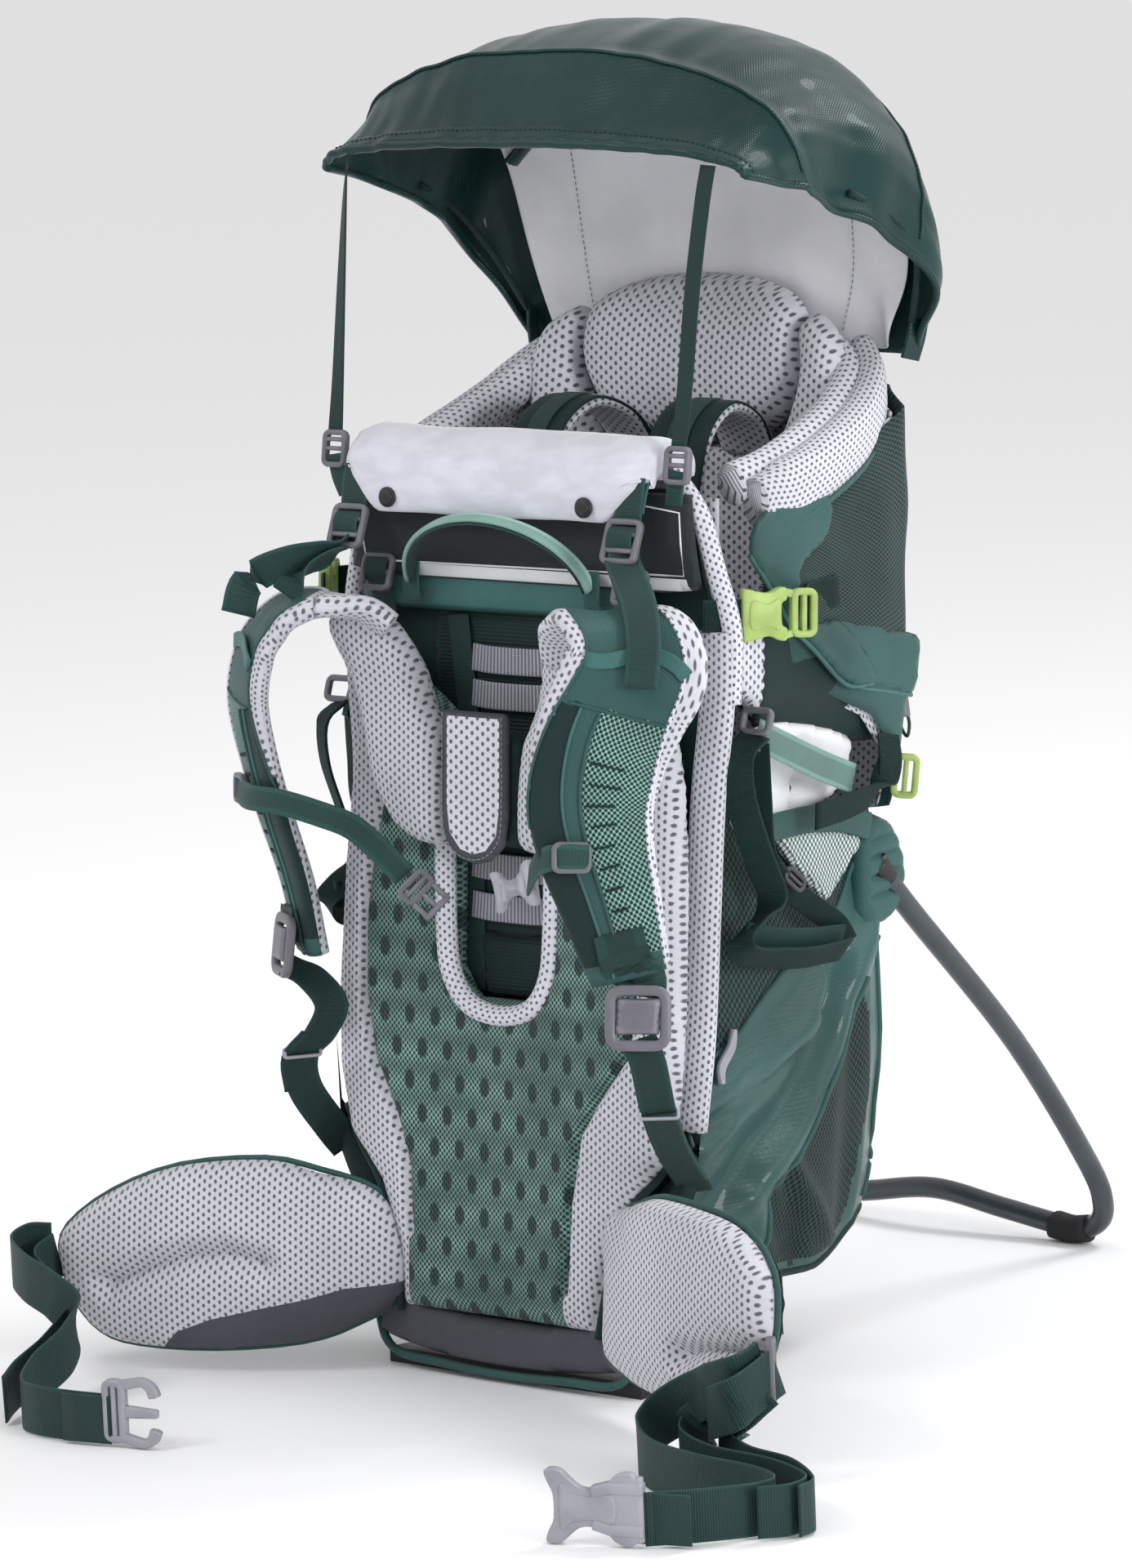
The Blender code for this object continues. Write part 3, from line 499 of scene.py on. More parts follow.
def make_materials():
    """Every finish by name, with the record's slot that it stands for."""
    wide, narrow, hip = WEB_WIDE / 2, WEB_NARROW / 2, WEB_HIP / 2
    return {
        "mesh": (perforated("grey_mesh_pads", scaled(MESH_GREY, 0.95), MESH_HOLE, (0.0088, 0.0066),
                            (0.00105, 0.0015)),
                 "mesh_fabric"),
        "mesh_round": (perforated("grey_mesh_seat", MESH_GREY, MESH_HOLE, (0.0104, 0.0078), (0.0014, 0.0016)),
                       "mesh_fabric"),
        "mesh_small": (perforated("grey_mesh_edge", MESH_GREY, MESH_HOLE, (0.0076, 0.0066), (0.0010, 0.0012)),
                       "mesh_fabric"),
        "spacer": (spacer_mesh("green_spacer_mesh"), "green_fabric"),
        "net_mint": (open_net("mint_net", GREEN_LIGHT, scaled(GREEN_DARK, 1.2), (0.0044, 0.0052),
                              (0.0013, 0.0015)),
                     "green_fabric"),
        "net_dark": (open_net("dark_net", scaled(GREEN_MID, 0.95), scaled(GREEN_DARK, 0.6), (0.0060, 0.0060),
                              (0.0017, 0.0019)), "green_fabric"),
        "net_pocket": (open_net("pocket_net", scaled(GREEN_MID, 0.75), scaled(GREEN_DARK, 0.55),
                                (0.0050, 0.0060), (0.0014, 0.0018)), "green_fabric"),
        "net_pale": (open_net("pale_net", scaled(GREEN_MID, 1.1), (205, 214, 212), (0.0052, 0.0060),
                              (0.0015, 0.0018)), "green_fabric"),
        "roof": (nylon("roof_cloth", GREEN_ROOF, 0.34, 0.12, 0.03, 0.0022, 0.8, 0.08), "roof_fabric"),
        "dark": (nylon("dark_cloth", GREEN_DARK, 0.58), "dark_fabric"),
        "mid": (nylon("green_cloth", GREEN_MID, 0.48), "green_fabric"),
        "bag": (nylon("bag_cloth", scaled(GREEN_MID, 0.98), 0.34, 0.12, 0.05, 0.0016, 1.0, 0.15),
                "green_fabric"),
        "light_green": (nylon("light_green_cloth", scaled(GREEN_MID, 1.25), 0.5), "green_fabric"),
        "mint": (nylon("mint_cloth", MINT, 0.6), "mint_webbing"),
        "lining": (nylon("lining_cloth", LINING_GREY, 0.50, 0.05, 0.2, 0.0012, 0.9), "mesh_fabric"),
        "anthracite": (nylon("anthracite_cloth", ANTHRACITE, 0.75, 0.07), "dark_fabric"),
        "black_cloth": (nylon("panel_cloth", (30, 36, 38), 0.55, 0.06, 0.1, 0.0012, 0.3), "dark_fabric"),
        "white_print": (nylon("pale_print", (214, 218, 220), 0.6, 0.03, 0.1, 0.0012, 0.3), "mesh_fabric"),
        "ribbed": (webbing("ribbed_back", scaled(GREEN_DARK, 1.0), rib=0.0030), "dark_fabric"),
        "rung": (webbing("grey_rung", (138, 138, 148), rib=0.0034, contrast=0.45), "strap_fabric"),
        "plush": (plush("brushed_plush", PLUSH_GREY), "plush_fabric"),
        "web_hip": (webbing("hip_webbing", (28, 56, 55), hip, 0.0020, 0.05), "strap_fabric"),
        "web": (webbing("green_webbing", (34, 64, 62), wide), "strap_fabric"),
        "web_thin": (webbing("narrow_webbing", (38, 70, 67), narrow), "strap_fabric"),
        "web_dark": (webbing("dark_webbing", (26, 54, 51), wide), "strap_fabric"),
        "web_mint": (webbing("mint_strap", (142, 180, 170), 0.010), "mint_webbing"),
        "grey_plastic": (moulded("grey_buckle", PLASTIC_GREY, 0.40), "grey_plastic"),
        "silver_plastic": (moulded("silver_buckle", PLASTIC_SILVER, 0.36), "silver_plastic"),
        "lime": (moulded("lime_buckle", LIME, 0.36), "lime_plastic"),
        "black": (moulded("black_moulding", BLACK, 0.45), "black_plastic"),
        "rubber": (moulded("foot_rubber", scaled(BLACK, 1.1), 0.85), "foot_rubber"),
        "tube": (moulded("stand_paint", TUBE_GREY, 0.32, 0.45, 0.25), "painted_tube"),
        "alloy": (moulded("alloy_tube", ALLOY, 0.32, 0.9), "alloy"),
        "cord": (webbing("draw_cord", (40, 74, 68), rib=0.0018), "strap_fabric"),
        "stitch": (webbing("pale_thread", (150, 168, 165), rib=0.0009), "strap_fabric"),
        "stitch_dark": (webbing("dark_thread", (52, 74, 72), rib=0.0009), "strap_fabric"),
    }


FINISHES = {}


# ---------------------------------------------------------------- shapes

class Shape:
    """Points and faces, with the cloth coordinates of each face corner and a zone number for each face."""

    def __init__(self):
        self.points, self.faces, self.cloth, self.zones = [], [], [], []

    def face(self, corners, cloth, zone=0):
        self.faces.append(tuple(corners))
        self.cloth.extend(cloth)
        self.zones.append(zone)

    def join(self, other, zone=None):
        base = len(self.points)
        self.points.extend(other.points)
        self.faces.extend(tuple(k + base for k in face) for face in other.faces)
        self.cloth.extend(other.cloth)
        self.zones.extend(other.zones if zone is None else [zone] * len(other.faces))
        return self


def make(name, shape, finishes, body, replaces=(), space=lean, smooth=True, closed=True):
    """A piece with its finishes, riding on a body and standing for CAD nodes.

    A body given as (body, body, start, end) bends the piece between the two bodies.
    """
    mesh = bpy.data.meshes.new(name)
    mesh.from_pydata([space(point) for point in shape.points], [], shape.faces)
    cloth = mesh.uv_layers.new(name=CLOTH_MAP)
    cloth.data.foreach_set("uv", [value for place in shape.cloth for value in place])
    mesh.polygons.foreach_set("material_index", shape.zones)
    mesh.polygons.foreach_set("use_smooth", [smooth] * len(shape.faces))
    if closed:
        bm = bmesh.new()
        bm.from_mesh(mesh)
        bmesh.ops.recalc_face_normals(bm, faces=bm.faces)
        bm.to_mesh(mesh)
        bm.free()
    finishes = finishes.split()
    for finish in finishes:
        mesh.materials.append(FINISHES[finish][0])
    piece = bpy.data.objects.new(name, mesh)
    bpy.context.collection.objects.link(piece)
    if isinstance(body, str):
        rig.ride(piece, body)
    else:
        first, second, start, end = body
        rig.blend(piece, first, second, space(start), space(end))
    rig.slot(piece, FINISHES[finishes[0]][1])
    if replaces:
        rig.replaces(piece, *replaces)
    return piece


def bevel(piece, width=0.0008, segments=2):
    """Round the edges of a moulded part."""
    modifier = piece.modifiers.new("edges", "BEVEL")
    modifier.width = width
    modifier.segments = segments
    modifier.limit_method = "ANGLE"
    modifier.angle_limit = radians(35)
    modifier.harden_normals = False
    return piece


def thicken(piece, thickness=0.0012):
    modifier = piece.modifiers.new("thickness", "SOLIDIFY")
    modifier.thickness = thickness
    modifier.offset = 0.0
    return piece


def ease(value, low, high):
    """0 below low, 1 above high and smooth between."""
    t = max(0.0, min(1.0, (value - low) / (high - low)))
    return t * t * (3 - 2 * t)


def smooth_path(points, steps=6, closed=False):
    """Catmull-Rom curve through the points."""
    points = [Vector(point) for point in points]
    if closed:
        ends = [points[-1]] + points + points[:2]
    else:
        ends = [2 * points[0] - points[1]] + points + [2 * points[-1] - points[-2]]
    path = []
    for a, b, c, d in zip(ends, ends[1:], ends[2:], ends[3:]):
        for step in range(steps):
            t = step / steps
            path.append(0.5 * (2 * b + (c - a) * t + (2 * a - 5 * b + 4 * c - d) * t * t
                               + (3 * b - a - 3 * c + d) * t ** 3))
    return path if closed else path + [points[-1]]


def tangents(path, closed=False):
    if closed:
        ahead, behind = path[1:] + path[:1], path[-1:] + path[:-1]
    else:
        ahead, behind = path[1:] + path[-1:], path[:1] + path[:-1]
    return [(b - a).normalized() for a, b in zip(behind, ahead)]


def running(path):
    """Distance along the path at each point."""
    lengths = [0.0]
    for a, b in zip(path, path[1:]):
        lengths.append(lengths[-1] + (b - a).length)
    return lengths


def sweep(path, section, across=None, closed=False, flat=False):
    """Carry a section along a path. across is a direction, one direction per point, or None for no twist.

    section is a list of (across, out) pairs or a function of the share of the path that gives one.
    """
    path = [Vector(point) for point in path]
    directions = tangents(path, closed)
    along = running(path)
    total = along[-1] + ((path[0] - path[-1]).length if closed else 0.0)
    shape = Shape()
    side = directions[0].orthogonal()
    widths = []
    for k, (point, tangent) in enumerate(zip(path, directions)):
        if across is not None:
            side = Vector(across[k] if isinstance(across, list) else across)
        side = (side - tangent * side.dot(tangent)).normalized()
        out = tangent.cross(side)
        outline = section(along[k] / total) if callable(section) else section
        shape.points.extend(point + side * a + out * b for a, b in outline)
        if flat:
            widths.append([a for a, _ in outline] + [outline[0][0]])
        else:
            ring = [Vector((a, b, 0)) for a, b in outline + outline[:1]]
            around = running(ring)
            widths.append([w - around[-1] / 2 for w in around])
    count = len(widths[0]) - 1
    rows = len(path)
    for row in range(rows if closed else rows - 1):
        ahead = (row + 1) % rows
        v0, v1 = along[row], along[row + 1] if row + 1 < rows else total
        for k in range(count):
            n = (k + 1) % count
            shape.face((row * count + k, row * count + n, ahead * count + n, ahead * count + k),
                       ((widths[row][k], v0), (widths[row][k + 1], v0), (widths[ahead][k + 1], v1),
                        (widths[ahead][k], v1)))
    if not closed:
        for row, turn in ((0, -1), (rows - 1, 1)):
            ring = [row * count + k for k in range(count)][::turn]
            shape.face(ring, [(widths[row][k - row * count], along[row]) for k in ring])
    return shape


def round_section(radius, sides=12, squash=1.0):
    return [(radius * cos(2 * pi * k / sides),
             radius * squash * sin(2 * pi * k / sides)) for k in range(sides)]


def pad_section(width, height, power=0.5, sides=20):
    """Cushion cross-section: a rounded flat shape, fuller as power falls."""
    section = []
    for k in range(sides):
        angle = 2 * pi * k / sides
        c, s = cos(angle), sin(angle)
        section.append((width / 2 * abs(c) ** power * (1 if c > 0 else -1),
                        height / 2 * abs(s) ** (power * 1.4) * (1 if s > 0 else -1)))
    return section


def web_section(width, thick=WEB_THICK):
    """Flat strap with thin woven edges."""
    w, t = width / 2, thick / 2
    half = [(-w, 0.0), (-w + 0.0004, -t), (-w + 0.0020, -t), (w - 0.0020, -t), (w - 0.0004, -t)]
    return half + [(-a, -b) for a, b in half]


def ribbon(points, width, across, thick=WEB_THICK, steps=6):
    return sweep(smooth_path(points, steps), web_section(width, thick), across, flat=True)


def tube(points, radius, steps=6, sides=12, closed=False):
    return sweep(smooth_path(points, steps, closed), round_section(radius, sides), closed=closed)


def turning(start, end, count):
    """Directions that turn evenly from start to end."""
    start, end = Vector(start).normalized(), Vector(end).normalized()
    return [start.slerp(end, k / (count - 1)) for k in range(count)]


def surface(place, us, vs, zone=None):
    """Sheet through place(u, v), with its cloth coordinates measured along its middle lines."""
    shape = Shape()
    grid = [[Vector(place(u, v)) for v in vs] for u in us]
    across = running([row[len(vs) // 2] for row in grid])
    along = running(grid[len(us) // 2])
    for row in grid:
        shape.points.extend(row)
    count = len(vs)
    for i in range(len(us) - 1):
        for j in range(count - 1):
            corners = ((i, j), (i + 1, j), (i + 1, j + 1), (i, j + 1))
            number = zone((us[i] + us[i + 1]) / 2, (vs[j] + vs[j + 1]) / 2) if zone else 0
            shape.face([a * count + b for a, b in corners], [(across[a], along[b]) for a, b in corners],
                       number)
    return shape


def steps_between(low, high, count):
    return [low + (high - low) * k / count for k in range(count + 1)]


def evenly(outline, pitch, closed=True):
    """The outline with a point about every pitch."""
    ends = outline + outline[:1] if closed else outline
    points = []
    for (a, b), (c, d) in zip(ends, ends[1:]):
        count = max(1, round(sqrt((c - a) ** 2 + (d - b) ** 2) / pitch))
        points.extend((a + (c - a) * k / count, b + (d - b) * k / count) for k in range(count))
    return points if closed else points + [outline[-1]]


def rounded(outline, steps=5):
    """Closed flat outline smoothed through its points."""
    return [(p.x, p.y) for p in smooth_path([(a, b, 0) for a, b in outline], steps, closed=True)]


def distance_to(points, line, closed):
    """Distance of each flat point from a line of flat points."""
    line = np.array(line)
    starts, ends = (line, np.roll(line, -1, axis=0)) if closed else (line[:-1], line[1:])
    step = ends - starts
    length = np.maximum((step ** 2).sum(axis=1), 1e-12)
    offset = points[:, None, :] - starts[None, :, :]
    t = np.clip((offset * step).sum(axis=2) / length, 0, 1)
    return np.sqrt(((offset - t[..., None] * step) ** 2).sum(axis=2)).min(axis=1)


def inside(points, outline):
    """Which flat points lie inside a closed outline."""
    a = np.array(outline)
    b = np.roll(a, -1, axis=0)
    x, y = points[:, 0:1], points[:, 1:2]
    with np.errstate(divide="ignore", invalid="ignore"):
        crossing = a[:, 0] + (y - a[:, 1]) * (b[:, 0] - a[:, 0]) / (b[:, 1] - a[:, 1])
    return (((a[:, 1] > y) != (b[:, 1] > y)) & (x < crossing)).sum(axis=1) % 2 == 1


def filled(outline, pitch, lines):
    """Even triangles over a flat outline, with edges along the given lines."""
    outline = evenly(outline, pitch)
    edge_lines = [evenly(list(line), pitch, closed=False) for line in lines]
    low, high = np.min(outline, axis=0), np.max(outline, axis=0)
    rows = np.arange(low[1], high[1], pitch * 0.866)
    spread = np.array([(x + (k % 2) * pitch / 2, y) for k, y in enumerate(rows)
                       for x in np.arange(low[0], high[0] + pitch, pitch)])
    spread = spread[inside(spread, outline)]
    for line, closed in [(outline, True)] + [(line, False) for line in edge_lines]:
        spread = spread[distance_to(spread, line, closed) > pitch * 0.5]
    points = [Vector(p) for p in outline]
    edges = [(k, (k + 1) % len(outline)) for k in range(len(outline))]
    for line in edge_lines:
        start = len(points)
        points.extend(Vector(p) for p in line)
        edges.extend((start + k, start + k + 1) for k in range(len(line) - 1))
    points.extend(Vector(p) for p in spread.tolist())
    flat, _, faces, *_ = delaunay_2d_cdt(points, edges, [], 1, 1e-6)
    flat = np.array([(p.x, p.y) for p in flat])
    middles = np.array([flat[list(face)].mean(axis=0) for face in faces])
    faces = [face for face, kept in zip(faces, inside(middles, outline)) if kept]
    used = sorted({k for face in faces for k in face})
    place = {k: number for number, k in enumerate(used)}
    return flat[used], [tuple(place[k] for k in face) for face in faces]


def pad(outline, thick, place, pitch=0.005, rim=0.012, back=0.3, grooves=(), zones=(), crown=0.0, lines=()):
    """A stuffed pad over a flat outline; place(u, v, out) puts a point in the pack's frame.

    grooves are (line, half width, depth). zones are (outline, number), whose borders become edges.
    """
    borders = [list(line) + [line[0]] for line, _ in zones] + [list(line) for line, _, _ in grooves]
    flat, faces = filled(outline, pitch, borders + [list(line) for line in lines])
    edge = distance_to(flat, outline, True)
    share = np.clip(edge / rim, 0, 1)
    height = np.sqrt(np.maximum(0.0, 1 - (1 - share) ** 2)) + crown * np.clip(edge / 0.05, 0, 1)
    front = thick * (1 - back) * height
    for line, half, depth in grooves:
        near = np.clip(1 - distance_to(flat, line, False) / half, 0, 1)
        front -= depth * near ** 1.5 * np.clip(edge / rim, 0, 1)
    rear = -thick * back * height
    middles = np.array([flat[list(face)].mean(axis=0) for face in faces])
    number = np.zeros(len(faces), int)
    for line, zone in zones:
        number[inside(middles, line)] = zone
    shape = Shape()
    on_edge = edge < 1e-6
    front[on_edge] = 0.0
    shape.points = [place(u, v, w) for (u, v), w in zip(flat.tolist(), front.tolist())]
    behind = {}
    for k in np.flatnonzero(~on_edge).tolist():
        behind[k] = len(shape.points)
        shape.points.append(place(flat[k, 0], flat[k, 1], rear[k]))
    for face, zone in zip(faces, number.tolist()):
        places = [tuple(flat[k]) for k in face]
        shape.face(face, places, zone)
        shape.face([behind.get(k, k) for k in reversed(face)], places[::-1], zone)
    return shape


def plate(outline, origin, u, v, depth):
    """A flat part of even thickness, centred on the plane of u and v."""
    origin, u, v = Vector(origin), Vector(u).normalized(), Vector(v).normalized()
    v = (v - u * v.dot(u)).normalized()
    normal = u.cross(v)
    shape = Shape()
    for side in (-0.5, 0.5):
        shape.points.extend(origin + u * a + v * b + normal * depth * side for a, b in outline)
    count = len(outline)
    shape.face(range(count), outline)
    shape.face([count + k for k in reversed(range(count))], outline[::-1])
    for k in range(count):
        n = (k + 1) % count
        shape.face((k, count + k, count + n, n), (outline[k], outline[k], outline[n], outline[n]))
    return shape


def ring_outline(width, height, corner, steps=4):
    """Rectangle with round corners, as a closed line."""
    line = []
    for (cx, cy), start in (((1, 1), 0), ((-1, 1), 90), ((-1, -1), 180), ((1, -1), 270)):
        for k in range(steps + 1):
            angle = radians(start + 90 * k / steps)
            line.append((cx * (width / 2 - corner) + corner * cos(angle),
                         cy * (height / 2 - corner) + corner * sin(angle)))
    return line


def frame_ring(centre, across, up, width, height, thick, bar=0.0055, bars=(0.0,), corner=0.004):
    """Moulded rectangular ring with cross bars at the given heights."""
    centre, across, up = Vector(centre), Vector(across).normalized(), Vector(up).normalized()
    up = (up - across * up.dot(across)).normalized()
    normal = across.cross(up)
    line = ring_outline(width - bar, height - bar, corner)
    path = [centre + across * a + up * b for a, b in line]
    section = pad_section(bar, thick, 0.45, 12)
    directions = tangents(path, closed=True)
    shape = sweep(path, section, [normal.cross(t) for t in directions], closed=True)
    for height_share in bars:
        middle = centre + up * height * height_share
        half = across * (width - bar) / 2
        shape.join(sweep([middle - half, middle, middle + half], pad_section(bar * 0.8, thick * 0.9, 0.5, 12),
                         up))
    return shape


def stitches(path, out, length=0.0028, gap=0.0020, radius=0.00042):
    """A dashed line of sewing thread lying on a path."""
    path = [Vector(p) for p in path]
    along = running(path)
    shape = Shape()

    def at(distance):
        k = max(i for i, value in enumerate(along) if value <= distance + 1e-9)
        k = min(k, len(path) - 2)
        span = max(along[k + 1] - along[k], 1e-9)
        return path[k].lerp(path[k + 1], (distance - along[k]) / span)

    place = gap
    while place + length < along[-1]:
        a, b = at(place), at(place + length)
        lift = Vector(out) * radius
        shape.join(sweep([a, a.lerp(b, 0.5) + lift, b], round_section(radius, 5)))
        place += length + gap
    return shape


def facing(depth):
    """Placing of a flat upright piece at a depth, with its outside towards the wearer."""
    return lambda u, v, out: Vector((u, depth - out, v))


def mirrored(points, s):
    """Points given for the right side, moved to the side with sign s."""
    return [(s * x, *rest) for x, *rest in points]


def web(name, points, width, across, body, finish="web", thick=WEB_THICK, steps=6, replaces=(), space=lean):
    return make(name, ribbon(points, width, across, thick, steps), finish, body, replaces, space)


def ring(name, centre, across, up, width, height, thick, body, finish="grey_plastic", replaces=(), **more):
    return make(name, frame_ring(centre, across, up, width, height, thick, **more), finish, body, replaces)


# ---------------------------------------------------------------- cloth pressure

STUFFED = []                    # pads still to be swollen: piece, most travel


def stuff(piece, travel, fill=0.6):
    """Declare a pad and queue it for the pressure simulation."""
    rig.padded(piece, fill)
    STUFFED.append((piece, travel))
    return piece


def swell_all(frames=20, pressure=4.0):
    """Swell every queued pad at once with cloth pressure, keeping each point within its travel."""
    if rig.quick():
        return
    scene = bpy.context.scene
    starts = []
    for piece, travel in STUFFED:
        start = np.empty(len(piece.data.vertices) * 3)
        piece.data.vertices.foreach_get("co", start)
        starts.append(start.reshape(-1, 3))
        cloth = piece.modifiers.new("cloth", "CLOTH")
        cloth.settings.use_pressure = True
        cloth.settings.uniform_pressure_force = pressure
        cloth.settings.effector_weights.gravity = 0.0
        cloth.settings.quality = 4
        cloth.settings.tension_stiffness = 12
        cloth.settings.compression_stiffness = 12
        cloth.settings.bending_stiffness = 0.4
        cloth.point_cache.frame_start = 1
        cloth.point_cache.frame_end = frames
    for frame in range(1, frames + 1):
        scene.frame_set(frame)
    graph = bpy.context.evaluated_depsgraph_get()
    for (piece, travel), start in zip(STUFFED, starts):
        swollen = piece.evaluated_get(graph).data
        end = np.empty(len(swollen.vertices) * 3)
        swollen.vertices.foreach_get("co", end)
        move = end.reshape(-1, 3) - start
        length = np.linalg.norm(move, axis=1, keepdims=True)
        move *= np.minimum(1.0, travel / np.maximum(length, 1e-9))
        piece.modifiers.remove(piece.modifiers["cloth"])
        piece.data.vertices.foreach_set("co", (start + move).ravel())
        piece.data.update()
    scene.frame_set(1)


# ---------------------------------------------------------------- hip belt and its loose webbing

HIP_ROUTES = {
    "right": [(0.352, -0.154, 0.090), (0.344, -0.178, 0.082), (0.314, -0.172, 0.070), (0.286, -0.156, 0.056),
              (0.264, -0.166, 0.040), (0.262, -0.190, 0.028), (0.290, -0.214, 0.0215),
              (0.345, -0.232, 0.0215), (0.400, -0.238, 0.0215), (0.430, -0.252, 0.0215),
              (0.430, -0.274, 0.0215), (0.404, -0.308, 0.0215), (0.376, -0.336, 0.0215)],
    "left": [(-0.352, -0.148, 0.098), (-0.367, -0.158, 0.098), (-0.362, -0.184, 0.094),
             (-0.332, -0.204, 0.088), (-0.298, -0.210, 0.078), (-0.274, -0.212, 0.062),
             (-0.264, -0.234, 0.044), (-0.264, -0.272, 0.028), (-0.247, -0.306, 0.0215),
             (-0.222, -0.320, 0.0215), (-0.190, -0.320, 0.0215), (-0.156, -0.315, 0.0215)],
}
HIP_BUCKLE_AHEAD = {"right": (-0.93, -0.30, 0.0), "left": (1.0, 0.22, 0.0)}


def hip_buckle_female(origin, ahead):
    """Hourglass socket with flared corners and a slot, seen from its broad side."""
    up = Vector((0, 0, 1))
    half = [(0.000, 0.022), (0.014, 0.026), (0.024, 0.018), (0.034, 0.0140), (0.044, 0.0150), (0.052, 0.021),
            (0.060, 0.0275), (0.070, 0.0265), (0.068, 0.018), (0.064, 0.009)]
    outline = half + [(u, -v) for u, v in reversed(half)]
    shape = plate(rounded(outline, 3), origin, ahead, up, 0.0085)
    inner = [(0.018, 0.010), (0.034, 0.0085), (0.050, 0.011), (0.058, 0.016), (0.058, -0.016),
             (0.050, -0.011), (0.034, -0.0085), (0.018, -0.010)]
    shape.join(plate(rounded(inner, 3), origin, ahead, up, 0.0105))
    for side in (-1, 1):
        start = origin + up * side * 0.0155
        shape.join(sweep([start - ahead * 0.004, start + ahead * 0.020,
                          start + ahead * 0.034 - up * side * 0.004],
                         pad_section(0.010, 0.011), up))
    shape.join(sweep([origin - up * 0.024, origin + up * 0.024], round_section(0.0042, 10), ahead))
    return shape


def hip_buckle_male(origin, ahead):
    """Ladder end with two sprung arms and a guide tongue between them."""
    up = Vector((0, 0, 1))
    shape = frame_ring(origin + ahead * 0.007, up, ahead, 0.050, 0.020, 0.009, bar=0.0062, bars=(0.0,))
    for side in (-1, 1):
        route = [(0.012, 0.0200), (0.022, 0.0225), (0.032, 0.0240), (0.040, 0.0205), (0.044, 0.0130)]
        arm = [origin + ahead * u + up * v * side for u, v in route]
        shape.join(sweep(smooth_path(arm, 4), lambda t: pad_section(0.0085 - 0.002 * t, 0.0075), up))
        hook = [origin + ahead * u + up * v * side for u,
                v in ((0.034, 0.0235), (0.039, 0.0195), (0.041, 0.0125))]
        shape.join(sweep(hook, pad_section(0.0075, 0.0075), up))
    rail = [origin + ahead * 0.012, origin + ahead * 0.030, origin + ahead * 0.044]
    shape.join(sweep(rail, lambda t: pad_section(0.011 - 0.004 * t, 0.006), up))
    return shape


def build_hip_cords():
    """The loose hip webbing on each side, as a flat cord that ends in its half buckle."""
    for side, s in SIDES:
        body = "hip_wing_" + side
        path = smooth_path(HIP_ROUTES[side], 8)
        strap = make("hip_webbing_" + side, sweep(path, web_section(WEB_HIP, 0.0020), (0, 0, 1), flat=True),
                     "web_hip", body, ["hip_strap_" + side], on_floor)
        ahead = Vector(HIP_BUCKLE_AHEAD[side]).normalized()
        end = path[-1]
        origin = Vector((end.x, end.y, 0.0285)) + ahead * 0.004
        shape = hip_buckle_female(origin, ahead) if s > 0 else hip_buckle_male(origin, ahead)
        buckle = make("hip_belt_buckle_" + side, shape, "silver_plastic", body, ["hip_buckle_" + side],
                      on_floor)
        bevel(buckle, 0.0012)
        fold = [end - ahead * 0.034, end - ahead * 0.010, end + ahead * 0.008]
        across = ahead.cross(Vector((0, 0, 1))) * 0.0030
        turn = make("hip_webbing_end_" + side,
                    sweep([p + across for p in fold], web_section(WEB_HIP - 0.002, 0.0020), (0, 0, 1),
                          flat=True),
                    "web_hip", body, space=on_floor)
        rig.cord(strap, exit=tuple(path[0]), length=round(running(path)[-1], 3), diameter=WEB_HIP,
                far_end="connector", stiffness="medium", lay="loose", path=[tuple(p) for p in path],
                with_pieces=[buckle, turn])


def wing_place(s):
    """Curved surface of a hip wing: u from its root, v up, out away from its inner mesh face."""
    origin = Vector((s * WING_ROOT[0], WING_ROOT[1], 0.0))
    along = Vector((s * cos(WING_ANGLE), -sin(WING_ANGLE), 0.0))
    front = Vector((-s * sin(WING_ANGLE), -cos(WING_ANGLE), 0.0))

    def place(u, v, out):
        bow = 0.007 * sin(pi * min(1.0, max(0.0, u / 0.29)))
        return origin + along * u + Vector((0, 0, v)) + front * (out - 0.012 + bow)

    return place


def wing_outline(s):
    lift = 0.028 if s > 0 else 0.0
    if s < 0:
        root = [(-0.004, 0.062), (0.000, 0.110), (0.020, 0.142)]
        top = [(0.180, 0.157), (0.236, 0.134), (0.274, 0.104)]
    else:
        root = [(0.034, 0.090), (0.036, 0.146)]
        top = [(0.180, 0.160), (0.238, 0.148), (0.276, 0.118)]
    base = root + [(0.066, 0.157), (0.110, 0.165)] + top + [(0.280, 0.078), (0.268, 0.044), (0.246, 0.020),
                                                            (0.214, 0.011), (0.150, 0.010), (0.080, 0.018),
                                                            (0.036, 0.034)]
    return [(u, v + lift * u / 0.28) for u, v in base]


